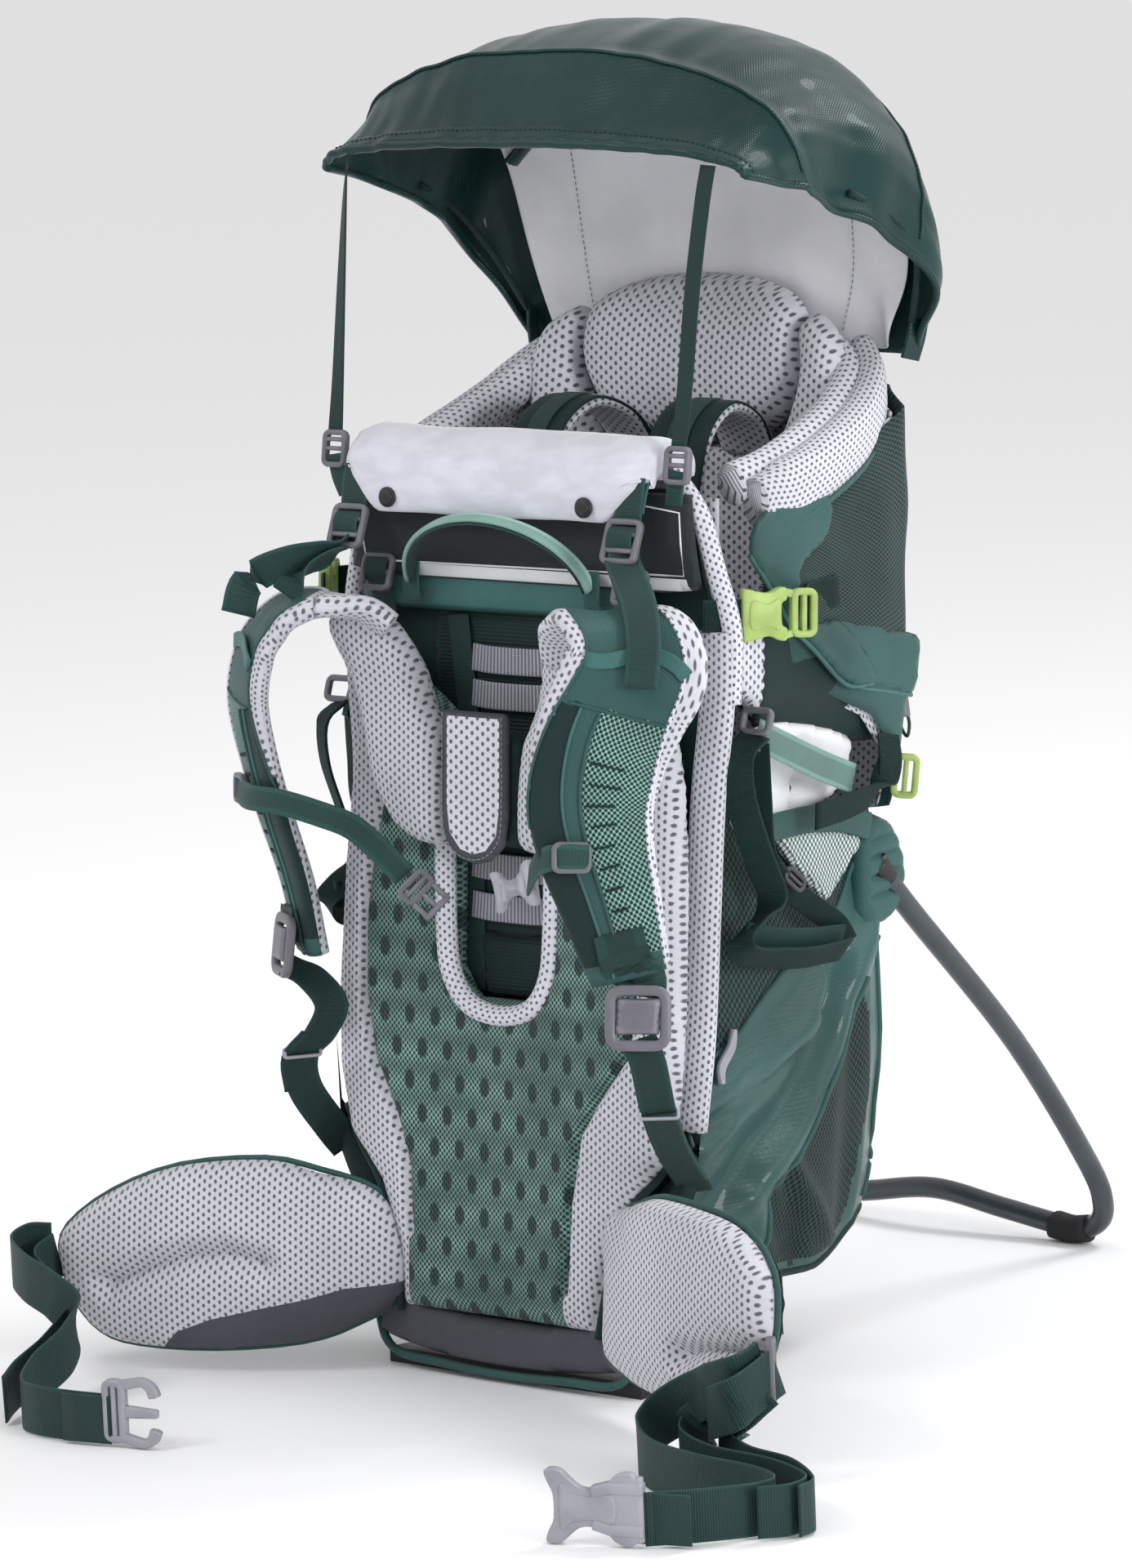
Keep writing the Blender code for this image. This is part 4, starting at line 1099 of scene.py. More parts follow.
def build_hip_wings():
    for side, s in SIDES:
        body = "hip_wing_" + side
        outline = rounded(wing_outline(s), 6)
        lift = 0.1 if s > 0 else 0.0
        if s < 0:
            dart = [(0.235, 0.062), (0.205, 0.074), (0.172, 0.086), (0.140, 0.090), (0.108, 0.084)]
            band = [(-0.020, 0.000), (-0.020, 0.074), (0.040, 0.066), (0.075, 0.056), (0.110, 0.048),
                    (0.150, 0.038), (0.178, 0.026), (0.196, 0.006), (0.200, -0.02), (-0.020, -0.02)]
        else:
            dart = [(0.272, 0.082), (0.240, 0.080), (0.205, 0.075), (0.180, 0.068)]
            band = [(0.020, 0.020), (0.036, 0.070), (0.048, 0.048), (0.075, 0.034), (0.120, 0.028),
                    (0.180, 0.030), (0.230, 0.032), (0.290, 0.036), (0.290, -0.02), (0.020, -0.02)]
        zones = [(band, 1)]
        grooves = [(dart, 0.020, 0.017), ([p for p in band if p[1] > 0.0][1:-1], 0.004, 0.0025)]
        shape = pad(outline, 0.030, wing_place(s), 0.0045, 0.020, 0.38, grooves, zones, crown=0.10)
        wing = make("hip_pad_" + side, shape, "mesh anthracite", body, ["hip_wing_" + side])
        stuff(wing, 0.004, 0.8)
        place = wing_place(s)
        edge = [place(u, v, -0.004) for u, v in outline[::2]]
        make("hip_pad_piping_" + side, sweep(edge, round_section(0.0024, 8), closed=True), "mid", body)
        cover = [(u * 0.94 + 0.010, v * 0.90 + 0.012) for u, v in outline]
        shape = pad(cover, 0.006, lambda u, v, out: place(u, v, -0.0125 - out), 0.009, 0.008, 0.2)
        make("hip_pad_cover_" + side, shape, "dark", body)
        for name, low, high in (("upper", 0.112, 0.104), ("lower", 0.070, 0.082)):
            run = [place(u, low + (high - low) * (u - 0.05) / 0.22 + lift * (u / 0.28) * 0.28, -0.0185)
                   for u in (0.05, 0.12, 0.19, 0.262)]
            web("hip_wing_webbing_" + name + "_" + side, run, WEB_WIDE, (0, 0, 1), body, "web_dark")
    build_hip_plies()


def build_hip_plies():
    """Further plies of the loose webbing, and the slider that joins them on the right."""
    plies = {
        "right": [
            [(0.362, -0.150, 0.086), (0.352, -0.190, 0.070), (0.326, -0.186, 0.058), (0.304, -0.160, 0.046),
             (0.290, -0.160, 0.032), (0.296, -0.184, 0.0240), (0.340, -0.206, 0.0215),
             (0.400, -0.214, 0.0215), (0.446, -0.236, 0.0215), (0.452, -0.262, 0.0215),
             (0.436, -0.282, 0.0215)],
            [(0.356, -0.164, 0.078), (0.336, -0.172, 0.058), (0.320, -0.158, 0.044), (0.322, -0.170, 0.028),
             (0.362, -0.192, 0.0215), (0.412, -0.206, 0.0215), (0.456, -0.240, 0.0215),
             (0.460, -0.264, 0.0215)],
        ],
        "left": [
            [(-0.348, -0.146, 0.092), (-0.344, -0.176, 0.082), (-0.306, -0.196, 0.066),
             (-0.288, -0.208, 0.050), (-0.280, -0.240, 0.036), (-0.276, -0.280, 0.0250),
             (-0.262, -0.310, 0.0215)],
        ],
    }
    for side in ("left", "right"):
        for number, route in enumerate(plies[side]):
            web("hip_webbing_ply_%s_%d" % (side, number + 1), route, WEB_HIP - 0.001, (0, 0, 1),
                "hip_wing_" + side, "web_hip", 0.0018, 8, space=on_floor)
    slider = frame_ring((0.356, -0.150, 0.086), (0, 0, 1), (0.5, -0.86, 0.0), 0.050, 0.020, 0.007,
                        bars=(0.0,))
    make("hip_webbing_slider", slider, "grey_plastic", "hip_wing_right", space=on_floor)


# ---------------------------------------------------------------- frame and stand

def build_frame_looks():
    """Give the visible tubes and mouldings of the frame their finish, and round the stand."""
    finishes = {
        "alloy": ["top_bar", "base_bar", "back_stay_left", "back_stay_right", "side_strut_left",
                  "side_strut_right", "pivot_pin_left", "pivot_pin_right"],
        "black": ["base_skid", "kickstand_hub_left", "kickstand_hub_right"],
        "dark": ["back_plate"],
    }
    for finish, nodes in finishes.items():
        for name in nodes:
            node = NODES[name]
            for index in range(max(1, len(node.material_slots))):
                if node.material_slots:
                    node.material_slots[index].material = FINISHES[finish][0]
    half = [(0.172, 0.245, 0.392), (0.172, 0.288, 0.355), (0.172, 0.437, 0.234), (0.172, 0.548, 0.120),
            (0.172, 0.574, 0.080), (0.160, 0.583, 0.060), (0.135, 0.582, 0.0545), (0.070, 0.578, 0.064),
            (0.0, 0.576, 0.074)]
    left = [(-x, y, z) for x, y, z in reversed(half[:-1])]
    make("stand_tube", tube(half + left, 0.009, 8, 18), "tube", "kickstand", ["kickstand_tube"])
    for side, s in SIDES:
        cap = mirrored([(0.172, 0.252, 0.386), (0.172, 0.245, 0.392), (0.172, 0.236, 0.400)], s)
        make("stand_tube_end_" + side, tube(cap, 0.0105, 4, 18), "black", "kickstand")
        path = [(s * x, 0.583, z) for x, z in ((0.1185, 0.0560), (0.135, 0.0538), (0.1515, 0.0560))]
        section = [(a, b if b < 0 else b * 0.8) for a, b in pad_section(0.026, 0.026, 0.75, 16)]
        make("stand_foot_" + side, sweep(smooth_path(path, 3), section, (0, 1, 0)), "rubber", "kickstand",
             ["foot_pad_" + side])


# ---------------------------------------------------------------- back system

NOTCH_RIM = [(-0.0530, 0.512), (-0.0530, 0.440), (-0.0520, 0.360), (-0.0470, 0.322), (-0.0300, 0.298),
             (0.0, 0.2905), (0.0300, 0.298), (0.0470, 0.322), (0.0520, 0.360), (0.0530, 0.440),
             (0.0530, 0.512)]


def back_place(u, v, out):
    """Front of the mesh back: a shallow hollow down the middle, fuller beside it."""
    hollow = 0.004 * cos(min(1.0, abs(u) / 0.17) * pi)
    return Vector((u, -0.012 - out + hollow, v))


def build_back():
    right = [(0.098, 0.046), (0.110, 0.100), (0.128, 0.148), (0.160, 0.186), (0.172, 0.240), (0.176, 0.300),
             (0.178, 0.400), (0.174, 0.480), (0.160, 0.560), (0.130, 0.566), (0.080, 0.545), (0.047, 0.520),
             (0.046, 0.330), (0.030, 0.304)]
    left = [(-x * (0.95 - 0.09 * ease(z, 0.22, 0.50) if x > 0.1 else 1.0), z) for x, z in reversed(right)]
    outline = evenly(right + left, 0.02)
    centre = [(-0.086, 0.0), (-0.086, 0.110), (-0.088, 0.165), (-0.100, 0.205), (-0.120, 0.245),
              (-0.130, 0.300), (-0.130, 0.360), (-0.124, 0.410), (-0.112, 0.470), (-0.112, 0.60),
              (0.122, 0.60), (0.128, 0.500), (0.136, 0.440), (0.138, 0.360), (0.136, 0.300), (0.128, 0.268),
              (0.104, 0.238), (0.082, 0.205), (0.072, 0.150), (0.068, 0.080), (0.066, 0.0)]
    shape = pad(outline, 0.028, back_place, 0.005, 0.014, 0.35, [(centre[1:9], 0.006, 0.007),
                                                                (centre[11:-1], 0.006, 0.007)], [(centre, 1)])
    back = make("back_padding", shape, "mesh spacer", "pack", ["back_mesh"])
    stuff(back, 0.0025, 0.7)
    for name, line in (("left", centre[1:9]), ("right", centre[11:-1])):
        seam = [back_place(u, v, 0.0128) for u, v in line]
        make("back_seam_" + name, tube(seam, 0.0011, 5, 8), "mid", "pack")
    rim = [back_place(u, v, 0.0165) for u, v in NOTCH_RIM]
    shape = sweep(smooth_path(rim, 6), pad_section(0.017, 0.015, 0.8))
    notch = make("notch_rim", shape, "mesh_small", "pack")
    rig.padded(notch, 0.7)
    build_back_bottom()
    build_centre()


def build_back_bottom():
    """Dark band and piping under the mesh back, down to the skid."""
    band = [(-0.118, 0.024), (-0.124, 0.040), (-0.112, 0.060), (-0.060, 0.052), (0.0, 0.049), (0.060, 0.051),
            (0.107, 0.058), (0.118, 0.038), (0.114, 0.022), (0.060, 0.014), (0.0, 0.011), (-0.060, 0.014)]
    shape = pad(rounded(band, 4), 0.020, facing(-0.014), 0.006, 0.008, 0.4)
    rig.padded(make("base_band", shape, "anthracite", "pack"), 0.4)
    edge = [(-0.150, -0.004, 0.150), (-0.134, -0.010, 0.095), (-0.130, -0.014, 0.045),
            (-0.112, -0.018, 0.014), (-0.060, -0.019, 0.008), (0.0, -0.019, 0.006), (0.060, -0.019, 0.008),
            (0.112, -0.018, 0.012), (0.128, -0.014, 0.045), (0.132, -0.010, 0.095), (0.150, -0.004, 0.150)]
    make("base_piping", tube(edge, 0.0036, 6, 10), "mid", "pack")
    for side, s in SIDES:
        line = mirrored([(0.100, -0.029, 0.048), (0.110, -0.028, 0.100), (0.124, -0.026, 0.146),
                         (0.152, -0.020, 0.178), (0.170, -0.014, 0.205)], s)
        if s < 0:
            line = [(x * 0.95, y, z) for x, y, z in line]
        make("back_lower_piping_" + side, tube(line, 0.0030, 6, 10), "dark", "pack")
        panel = [(0.104, 0.020), (0.106, 0.090), (0.122, 0.140), (0.150, 0.176), (0.176, 0.206),
                 (0.182, 0.260), (0.176, 0.170), (0.150, 0.100), (0.136, 0.030)]
        shape = pad(mirrored(panel, s), 0.012, facing(-0.004), 0.008, 0.010, 0.2)
        bend = ("pack", "hip_wing_" + side, (s * 0.100, -0.004, 0.100), (s * 0.150, -0.020, 0.100))
        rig.padded(make("hip_gusset_" + side, shape, "dark", bend), 0.3)


def build_centre():
    """Ribbed middle of the back with the height ladder that the harness hangs on."""
    panel = [(-0.088, 0.300), (0.088, 0.300), (0.088, 0.616), (-0.084, 0.616)]
    shape = pad(evenly(panel, 0.03), 0.004, facing(0.0005), 0.010, 0.006, 0.1)
    make("centre_panel", shape, "ribbed", "pack", ["harness_ladder"])
    for side, s in SIDES:
        run = mirrored([(0.0400, -0.0046, 0.306), (0.0405, -0.0050, 0.400), (0.0440, -0.0056, 0.500),
                        (0.0560, -0.0066, 0.600)], s)
        web("centre_webbing_" + side, run, 0.020, (1, 0, 0), "pack", "web_dark")
    for number, z in enumerate((0.374, 0.406, 0.540, 0.568)):
        bow = 0.0062 if z > 0.5 else 0.0050
        run = [(-0.041, -0.0066, z), (-0.020, -0.0070 - bow * 0.2, z - 0.0015),
               (0.020, -0.0070 - bow * 0.2, z - 0.0015), (0.041, -0.0066, z)]
        web("ladder_rung_%d" % (number + 1), run, 0.0215, (0, 0, 1), "pack", "rung", 0.0020)
    patch = [(-0.028, 0.304), (0.028, 0.304), (0.034, 0.352), (-0.034, 0.352)]
    shape = pad(rounded(evenly(patch, 0.02), 2), 0.003, facing(-0.0050), 0.008, 0.004)
    make("centre_patch", shape, "ribbed", "pack")
    tongue = [(-0.0330, 0.531), (-0.0330, 0.450), (-0.0290, 0.428), (-0.0160, 0.4160), (0.0, 0.4125),
              (0.0160, 0.4160), (0.0290, 0.428), (0.0330, 0.450), (0.0330, 0.531)]
    inner = [(x * 0.78, z + 0.008 if z < 0.5 else z - 0.004) for x, z in tongue]
    place = facing(-0.0555)
    shape = pad(evenly(tongue, 0.01), 0.0055, place, 0.004, 0.004, 0.2, [(inner, 0.002, 0.0008)],
                [(inner, 1)])
    tongue_piece = make("height_tongue", shape, "anthracite mesh_round", "harness", ["adjuster_tongue"])
    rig.padded(tongue_piece, 0.3)
    thread = [place(x * 0.88, z + 0.004 if z < 0.5 else z, 0.0049) for x, z in tongue]
    make("height_tongue_stitches", stitches(smooth_path(thread, 4), (0, -1, 0)), "stitch", "harness")


# ---------------------------------------------------------------- harness

def yoke_place(u, v, out):
    """Mesh face of the yoke, which rolls forward towards its top and its outer edges."""
    roll = 0.012 * ease(v, 0.54, 0.61) + 0.006 * ease(abs(u), 0.07, 0.14)
    return Vector((u, -0.043 - out - roll, v))


def build_yoke():
    outline = [(0.036, 0.432), (0.060, 0.424), (0.086, 0.438), (0.106, 0.472), (0.118, 0.520), (0.134, 0.566),
               (0.140, 0.592), (0.128, 0.606), (0.104, 0.608), (0.082, 0.598), (0.062, 0.572), (0.050, 0.535),
               (0.038, 0.500)]
    for side, s in SIDES:
        points = rounded(mirrored(outline, s), 5)
        shape = pad(points, 0.026, yoke_place, 0.0045, 0.015, 0.4, crown=0.08)
        piece = make("yoke_" + side, shape, "mesh", "harness", ["yoke_pad"] if s > 0 else [])
        stuff(piece, 0.003, 0.8)
    bridge = [(-0.040, 0.428), (0.040, 0.428), (0.040, 0.516), (-0.040, 0.516)]
    shape = pad(rounded(evenly(bridge, 0.03), 2), 0.012, facing(-0.043), 0.008, 0.008)
    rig.padded(make("yoke_bridge", shape, "dark", "harness"), 0.5)


STRAP_ROUTES = {
    "right": [(0.096, -0.058, 0.574, 0.050), (0.106, -0.070, 0.592, 0.056), (0.122, -0.082, 0.603, 0.062),
              (0.148, -0.092, 0.610, 0.076), (0.176, -0.098, 0.602, 0.096), (0.190, -0.103, 0.580, 0.108),
              (0.183, -0.112, 0.555, 0.106), (0.172, -0.122, 0.520, 0.102), (0.168, -0.129, 0.480, 0.096),
              (0.174, -0.130, 0.443, 0.088), (0.183, -0.125, 0.406, 0.078), (0.193, -0.112, 0.348, 0.062)],
    "left": [(-0.084, -0.058, 0.590, 0.054), (-0.101, -0.068, 0.604, 0.056), (-0.120, -0.077, 0.608, 0.058),
             (-0.142, -0.085, 0.607, 0.064), (-0.165, -0.091, 0.597, 0.080), (-0.185, -0.096, 0.573, 0.094),
             (-0.193, -0.098, 0.535, 0.096), (-0.184, -0.097, 0.490, 0.092), (-0.172, -0.089, 0.440, 0.086),
             (-0.163, -0.075, 0.390, 0.074), (-0.157, -0.063, 0.334, 0.060)],
}
STRAP_BUCKLES = {"left": (-0.172, -0.081, 0.338), "right": (0.2035, -0.1170, 0.318)}
STRAP_THICK = 0.019


class Strap:
    """A shoulder strap: its centre line, with width, sideways and outward directions at each point."""

    def __init__(self, side, s, steps=8):
        route = STRAP_ROUTES[side]
        self.path = smooth_path([point[:3] for point in route], steps)
        self.widths = [w.x for w in smooth_path([(point[3], 0, 0) for point in route], steps)]
        self.along = running(self.path)
        start, end = Vector((s * 0.92, 0.30, 0.0)), Vector((s * STRAP_ACROSS[0], STRAP_ACROSS[1], 0.0))
        self.sides, self.outs = [], []
        for k, tangent in enumerate(tangents(self.path)):
            wide = start.lerp(end, ease(self.share(k), 0.0, 0.35))
            wide = (wide - tangent * wide.dot(tangent)).normalized()
            out = tangent.cross(wide)
            self.sides.append(wide)
            self.outs.append(out if out.y < 0 or (abs(out.y) < 0.3 and out.z > 0) else -out)

    def share(self, k):
        return self.along[k] / self.along[-1]

    def height(self, c):
        """Half thickness at share c of the width, from -0.5 to 0.5."""
        return STRAP_THICK / 2 * sqrt(max(0.0, 1 - abs(2 * c) ** 4))

    def point(self, t, c, lift=0.0, front=1):
        """Point on the strap at share t of its length, raised by lift from its surface."""
        distance = t * self.along[-1]
        k = max(0, min(len(self.path) - 2, sum(1 for value in self.along if value <= distance) - 1))
        part = (distance - self.along[k]) / (self.along[k + 1] - self.along[k])
        middle = self.path[k].lerp(self.path[k + 1], part)
        wide = self.sides[k].lerp(self.sides[k + 1], part)
        out = self.outs[k].lerp(self.outs[k + 1], part)
        width = self.widths[k] + (self.widths[k + 1] - self.widths[k]) * part
        return middle + wide * c * width + out * (self.height(c) * front + lift)


def strap_borders(t):
    """Where the parts of the strap's front meet, as shares of its width from the inner edge outwards."""
    mesh = -0.5 + 0.15 * (1 - ease(t, 0.35, 0.68))
    strip = -0.24 + 0.05 * ease(t, 0.50, 0.90)
    ridge = 0.5 - 0.16 + 0.105 * ease(t, 0.33, 0.60)
    return mesh, strip, strip + 0.14, ridge


def strap_zone(c, t):
    """Finish of the strap's front: mesh edges, dark band, light strip and net, and a green cover on top."""
    mesh, strip, net, ridge = strap_borders(t)
    if c < mesh or c > ridge or t < 0.17:
        return 0
    if t < 0.455 - 0.05 * c or t > 0.955:
        return 2
    return 1 if c < strip else (2 if c < net else 3)


def strap_skin(strap):
    front = steps_between(-0.5, 0.5, 40)
    around = [(c, 1) for c in front] + [(c, -1) for c in front[-2:0:-3]]
    shape = Shape()
    for k in range(len(strap.path)):
        for c, face in around:
            across = strap.sides[k] * c * strap.widths[k]
            shape.points.append(strap.path[k] + across + strap.outs[k] * strap.height(c) * face)
    count = len(around)
    for k in range(len(strap.path) - 1):
        for i in range(count):
            n = (i + 1) % count
            on_front = i < len(front) - 1
            middle = (around[i][0] + around[n][0]) / 2
            number = strap_zone(middle, (strap.share(k) + strap.share(k + 1)) / 2) if on_front else 0
            corners = ((k, i), (k, n), (k + 1, n), (k + 1, i))
            shape.face([row * count + place for row, place in corners],
                       [(around[place][0] * strap.widths[row], strap.along[row]) for row, place in corners],
                       number)
    for row, turn in ((0, -1), (len(strap.path) - 1, 1)):
        ring_points = list(range(count))[::turn]
        shape.face([row * count + i for i in ring_points], [(around[i][0] * 0.05, 0.0) for i in ring_points])
    return shape


def build_shoulder_straps():
    for side, s in SIDES:
        strap = Strap(side, s)
        piece = make("shoulder_pad_" + side, strap_skin(strap), "mesh dark mid net_mint", "harness",
                     ["shoulder_strap_" + side])
        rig.padded(piece, 0.8)
        edges = ((0, 0.18, 0.68, 0.0012, "mid"), (1, 0.47, 0.99, 0.0013, "light_green"),
                 (2, 0.47, 0.955, 0.0016, "mid"), (3, 0.15, 0.99, 0.0014, "mesh_small"))
        for number, low, high, radius, finish in edges:
            line = [strap.point(t, strap_borders(t)[number], 0.0004) for t in steps_between(low, high, 60)]
            make("shoulder_seam_%s_%d" % (side, number + 1), sweep(line, round_section(radius, 8)), finish,
                 "harness")
        top = [strap.point(0.455 - 0.05 * c, c, 0.0004) for c in steps_between(-0.34, 0.40, 20)]
        make("shoulder_cover_edge_" + side, sweep(top, round_section(0.0012, 8)), "mid", "harness")
        bars = Shape()
        for k in range(9):
            t = 0.56 + 0.34 * k / 8
            net = strap_borders(t)[2]
            start = net + 0.05 + 0.02 * (k % 2)
            line = [strap.point(t + 0.004 * (i % 2), start + (0.26 - 0.018 * k) * i / 10,
                                0.0006) for i in range(11)]
            bars.join(sweep(line, round_section(0.0009, 6)))
        make("shoulder_bar_tacks_" + side, bars, "dark", "harness")
        for number, t in enumerate((0.36, 0.955)):
            low, high = (-0.36, 0.36) if number == 0 else (-0.30, 0.30)
            line = [strap.point(t - 0.02 * sin(pi * (c - low) / (high - low)) * (number == 0), c, 0.0028)
                    for c in steps_between(low, high, 12)]
            make("shoulder_keeper_%s_%d" % (side, number + 1),
                 sweep(line, web_section(0.012), (0, 0.1, 1), flat=True),
                 "light_green" if number == 0 else "web_dark", "harness")
        build_strap_end(side, s, strap)


def build_strap_end(side, s, strap):
    """Buckle in front of the shoulder pad's end, and the webbing from it down to the pack's lower edge."""
    body = "strap_buckle_" + side
    centre = Vector(STRAP_BUCKLES[side])
    across = Vector((s * STRAP_ACROSS[0], STRAP_ACROSS[1], 0.0)).normalized()
    up = Vector((0.0, 0.12, 1.0)).normalized()
    front = Vector((STRAP_ACROSS[1] * s, -STRAP_ACROSS[0], 0.0)).normalized()
    make("strap_lock_" + side,
         frame_ring(centre, across, up, 0.050, 0.050, 0.0070, bar=0.0085, bars=(), corner=0.008),
         "grey_plastic", body, ["strap_buckle_" + side])
    lid = [(-0.0165, -0.0120), (0.0165, -0.0120), (0.0165, 0.0150), (-0.0165, 0.0150)]

    def lid_place(u, v, out):
        return centre + front * (0.0015 + out) + across * u + up * v

    shape = pad(rounded(evenly(lid, 0.010), 2), 0.0045, lid_place, 0.003, 0.0020, 0.1)
    make("strap_lock_lid_" + side, shape, "grey_plastic", body)
    hang = [strap.point(0.90, 0.0, 0.0010), strap.point(0.97, 0.0, 0.0016),
            centre + up * 0.030 - front * 0.001,
            centre + up * 0.016 - front * 0.0015]
    web("strap_loop_" + side, hang, 0.038, across, "harness", "web_dark")
    if s > 0:
        low = [(0.2035, -0.1165, 0.302), (0.2050, -0.1060, 0.282), (0.196, -0.080, 0.240),
               (0.184, -0.045, 0.205), (0.176, -0.012, 0.178), (0.174, -0.002, 0.168)]
        turns = turning(across, (0.9, 0.45, 0.1), 31)
    else:
        low = [(-0.1700, -0.0800, 0.322), (-0.150, -0.072, 0.312), (-0.134, -0.068, 0.292),
               (-0.146, -0.068, 0.268), (-0.166, -0.066, 0.248), (-0.176, -0.050, 0.220),
               (-0.174, -0.020, 0.186), (-0.170, -0.004, 0.168)]
        turns = turning((0.5, 0.86, 0.0), (0.62, 0.70, 0.1), 43)
    bend = ("harness", "pack", low[0], low[-1])
    web("strap_webbing_" + side, low, 0.028, turns, bend, "web_dark")
    tail = [low[2 if s > 0 else 3], low[3 if s > 0 else 4], low[4 if s > 0 else 5]]
    tail = [Vector(point) + front * 0.004 for point in tail]
    web("strap_tail_" + side, tail, 0.026, turns[len(turns) // 2], bend, "web_dark")
    slide = (0.196, -0.080, 0.240) if s > 0 else (-0.164, -0.068, 0.252)
    ring("strap_slider_" + side, slide, turns[len(turns) // 2], (0.0, 0.35, 1.0), 0.032, 0.010, 0.006, bend,
         "silver_plastic", bar=0.0030, bars=(), corner=0.002)


def build_load_lifters():
    """Webbings from the chin panel through the upper ladder locks to the shoulder pads."""
    routes = {
        "left": ([(-0.134, -0.0415, 0.674), (-0.137, -0.0500, 0.652), (-0.152, -0.0820, 0.632),
                  (-0.160, -0.0940, 0.616)],
                 [(-0.134, -0.0470, 0.656), (-0.144, -0.0640, 0.646), (-0.164, -0.0900, 0.640),
                  (-0.184, -0.1090, 0.625), (-0.191, -0.1130, 0.600)]),
        "right": ([(0.134, -0.0415, 0.674), (0.140, -0.0520, 0.652), (0.166, -0.0760, 0.632),
                   (0.182, -0.0900, 0.618)],
                  [(0.134, -0.0470, 0.656), (0.146, -0.0580, 0.648), (0.181, -0.0880, 0.626),
                   (0.204, -0.1120, 0.596), (0.206, -0.1190, 0.566)]),
    }
    for side, s in SIDES:
        lock = Vector((s * 0.134, -0.047, 0.668))
        body = "ladder_lock_" + side
        ring("upper_lock_" + side, lock, (1, 0, 0), (0, 0.35, 1), 0.034, 0.036, 0.0062, body, "grey_plastic",
             ["ladder_lock_" + side], bar=0.0050, bars=(0.16, -0.20))
        top = mirrored([(0.134, -0.0345, 0.716), (0.134, -0.0375, 0.698), (0.134, -0.0395, 0.684),
                        (0.134, -0.0405, 0.674)], s)
        wrap = mirrored([(0.134, -0.0440, 0.679), (0.134, -0.0500, 0.674), (0.134, -0.0510, 0.666),
                         (0.134, -0.0480, 0.659)], s)
        web("lifter_wrap_" + side, wrap, 0.024, (1, 0, 0), body, "web")
        web("lifter_top_" + side, top, 0.026, (1, 0, 0), ("pack", body, top[0], top[-1]))
        down, tail = routes[side]
        wide = (0.95, 0.30, 0.0) if s > 0 else (0.60, 0.50, 0.62)
        bend = ("pack", "harness", down[0], down[-1])
        web("lifter_" + side, down, WEB_WIDE, wide, bend)
        web("lifter_tail_" + side, tail, 0.027, wide, bend, "web")
        ring("lower_lock_" + side, (s * 0.124, -0.023, 0.631), (1, 0, 0), (0, 0.30, 1), 0.032, 0.030, 0.0058,
             "pack", "grey_plastic", bar=0.0048, bars=(0.0,))
        run = mirrored([(0.126, -0.0100, 0.664), (0.125, -0.0180, 0.648), (0.124, -0.0260, 0.632),
                        (0.124, -0.0150, 0.612), (0.124, -0.0120, 0.590)], s)
        web("lower_lock_webbing_" + side, run, 0.022, (1, 0, 0), "pack")


STERNUM = {
    "left": ((-0.2080, -0.0902, 0.460), (-0.034, -0.082, 0.392), (0.48, 0.52, 0.72), (0.63, 0.36, -0.68)),
    "right": ((0.1690, -0.1540, 0.440), (0.100, -0.134, 0.410), (0.0, 0.0, 1.0), (-1.0, 0.15, -0.3)),
}


def build_sternum():
    """Chest strap: a slider on each shoulder pad, its webbing and one half of the buckle."""
    for side, s in SIDES:
        body = "sternum_" + side
        centre, end, up, ahead = (Vector(value) for value in STERNUM[side])
        up, ahead = up.normalized(), ahead.normalized()
        wide = (s * STRAP_ACROSS[0], STRAP_ACROSS[1], 0.0)
        ring("sternum_slide_" + side, centre, wide, (0, 0, 1), 0.030, 0.024, 0.0060, body, "grey_plastic",
             ["sternum_slider_" + side], bar=0.0042, bars=())
        if s < 0:
            route = [(-0.222, -0.0780, 0.458), centre + Vector((0.006, -0.008, 0.0)),
                     (-0.168, -0.1260, 0.459),
                     (-0.134, -0.1300, 0.458), (-0.104, -0.1160, 0.449), (-0.084, -0.1040, 0.440),
                     (-0.066, -0.0950, 0.424), end - ahead * 0.016]
            turns = turning((0.05, 0.05, 1.0), up, 43)
        else:
            route = [centre + Vector((0.012, 0.006, 0.0)), centre + Vector((-0.010, -0.008, 0.0)),
                     centre.lerp(end, 0.45) + Vector((0, -0.010, 0.006)), end - ahead * 0.014]
            turns = (0.1, 0, 1)
        web("sternum_webbing_" + side, route, 0.020, turns, body, "web_thin")
        shape = frame_ring(end - ahead * 0.004, up, ahead, 0.030, 0.018, 0.0070, bar=0.0050, bars=(0.0,))
        if s < 0:
            for lane in (-0.0105, 0.0, 0.0105):
                line = [end + ahead * 0.004 + up * lane, end + ahead * 0.018 + up * lane]
                shape.join(sweep(line, pad_section(0.0045, 0.0070, 0.6, 10), up))
            shape.join(sweep([end + ahead * 0.019 - up * 0.013, end + ahead * 0.019 + up * 0.013],
                             pad_section(0.0048, 0.0075, 0.6, 10), ahead))
        else:
            shape = sternum_male(end, ahead, up)
        make("sternum_clip_" + side, shape, "grey_plastic" if s < 0 else "silver_plastic", body,
             ["sternum_buckle_" + side])


def sternum_male(end, ahead, up):
    """Flat prong plate with four flared corners."""
    half = [(-0.022, 0.0150), (-0.014, 0.0155), (-0.008, 0.0080), (0.002, 0.0062), (0.010, 0.0085),
            (0.016, 0.0150), (0.022, 0.0150), (0.021, 0.0070)]
    outline = half + [(u, -v) for u, v in reversed(half)]
    shape = plate(rounded(outline, 3), end, ahead, up, 0.0050)
    shape.join(plate(rounded([(u * 0.62, v * 0.55) for u, v in outline], 3), end, ahead, up, 0.0066))
    return shape


# ---------------------------------------------------------------- chin pad, front panel and handle

CHIN_HALF = 0.149


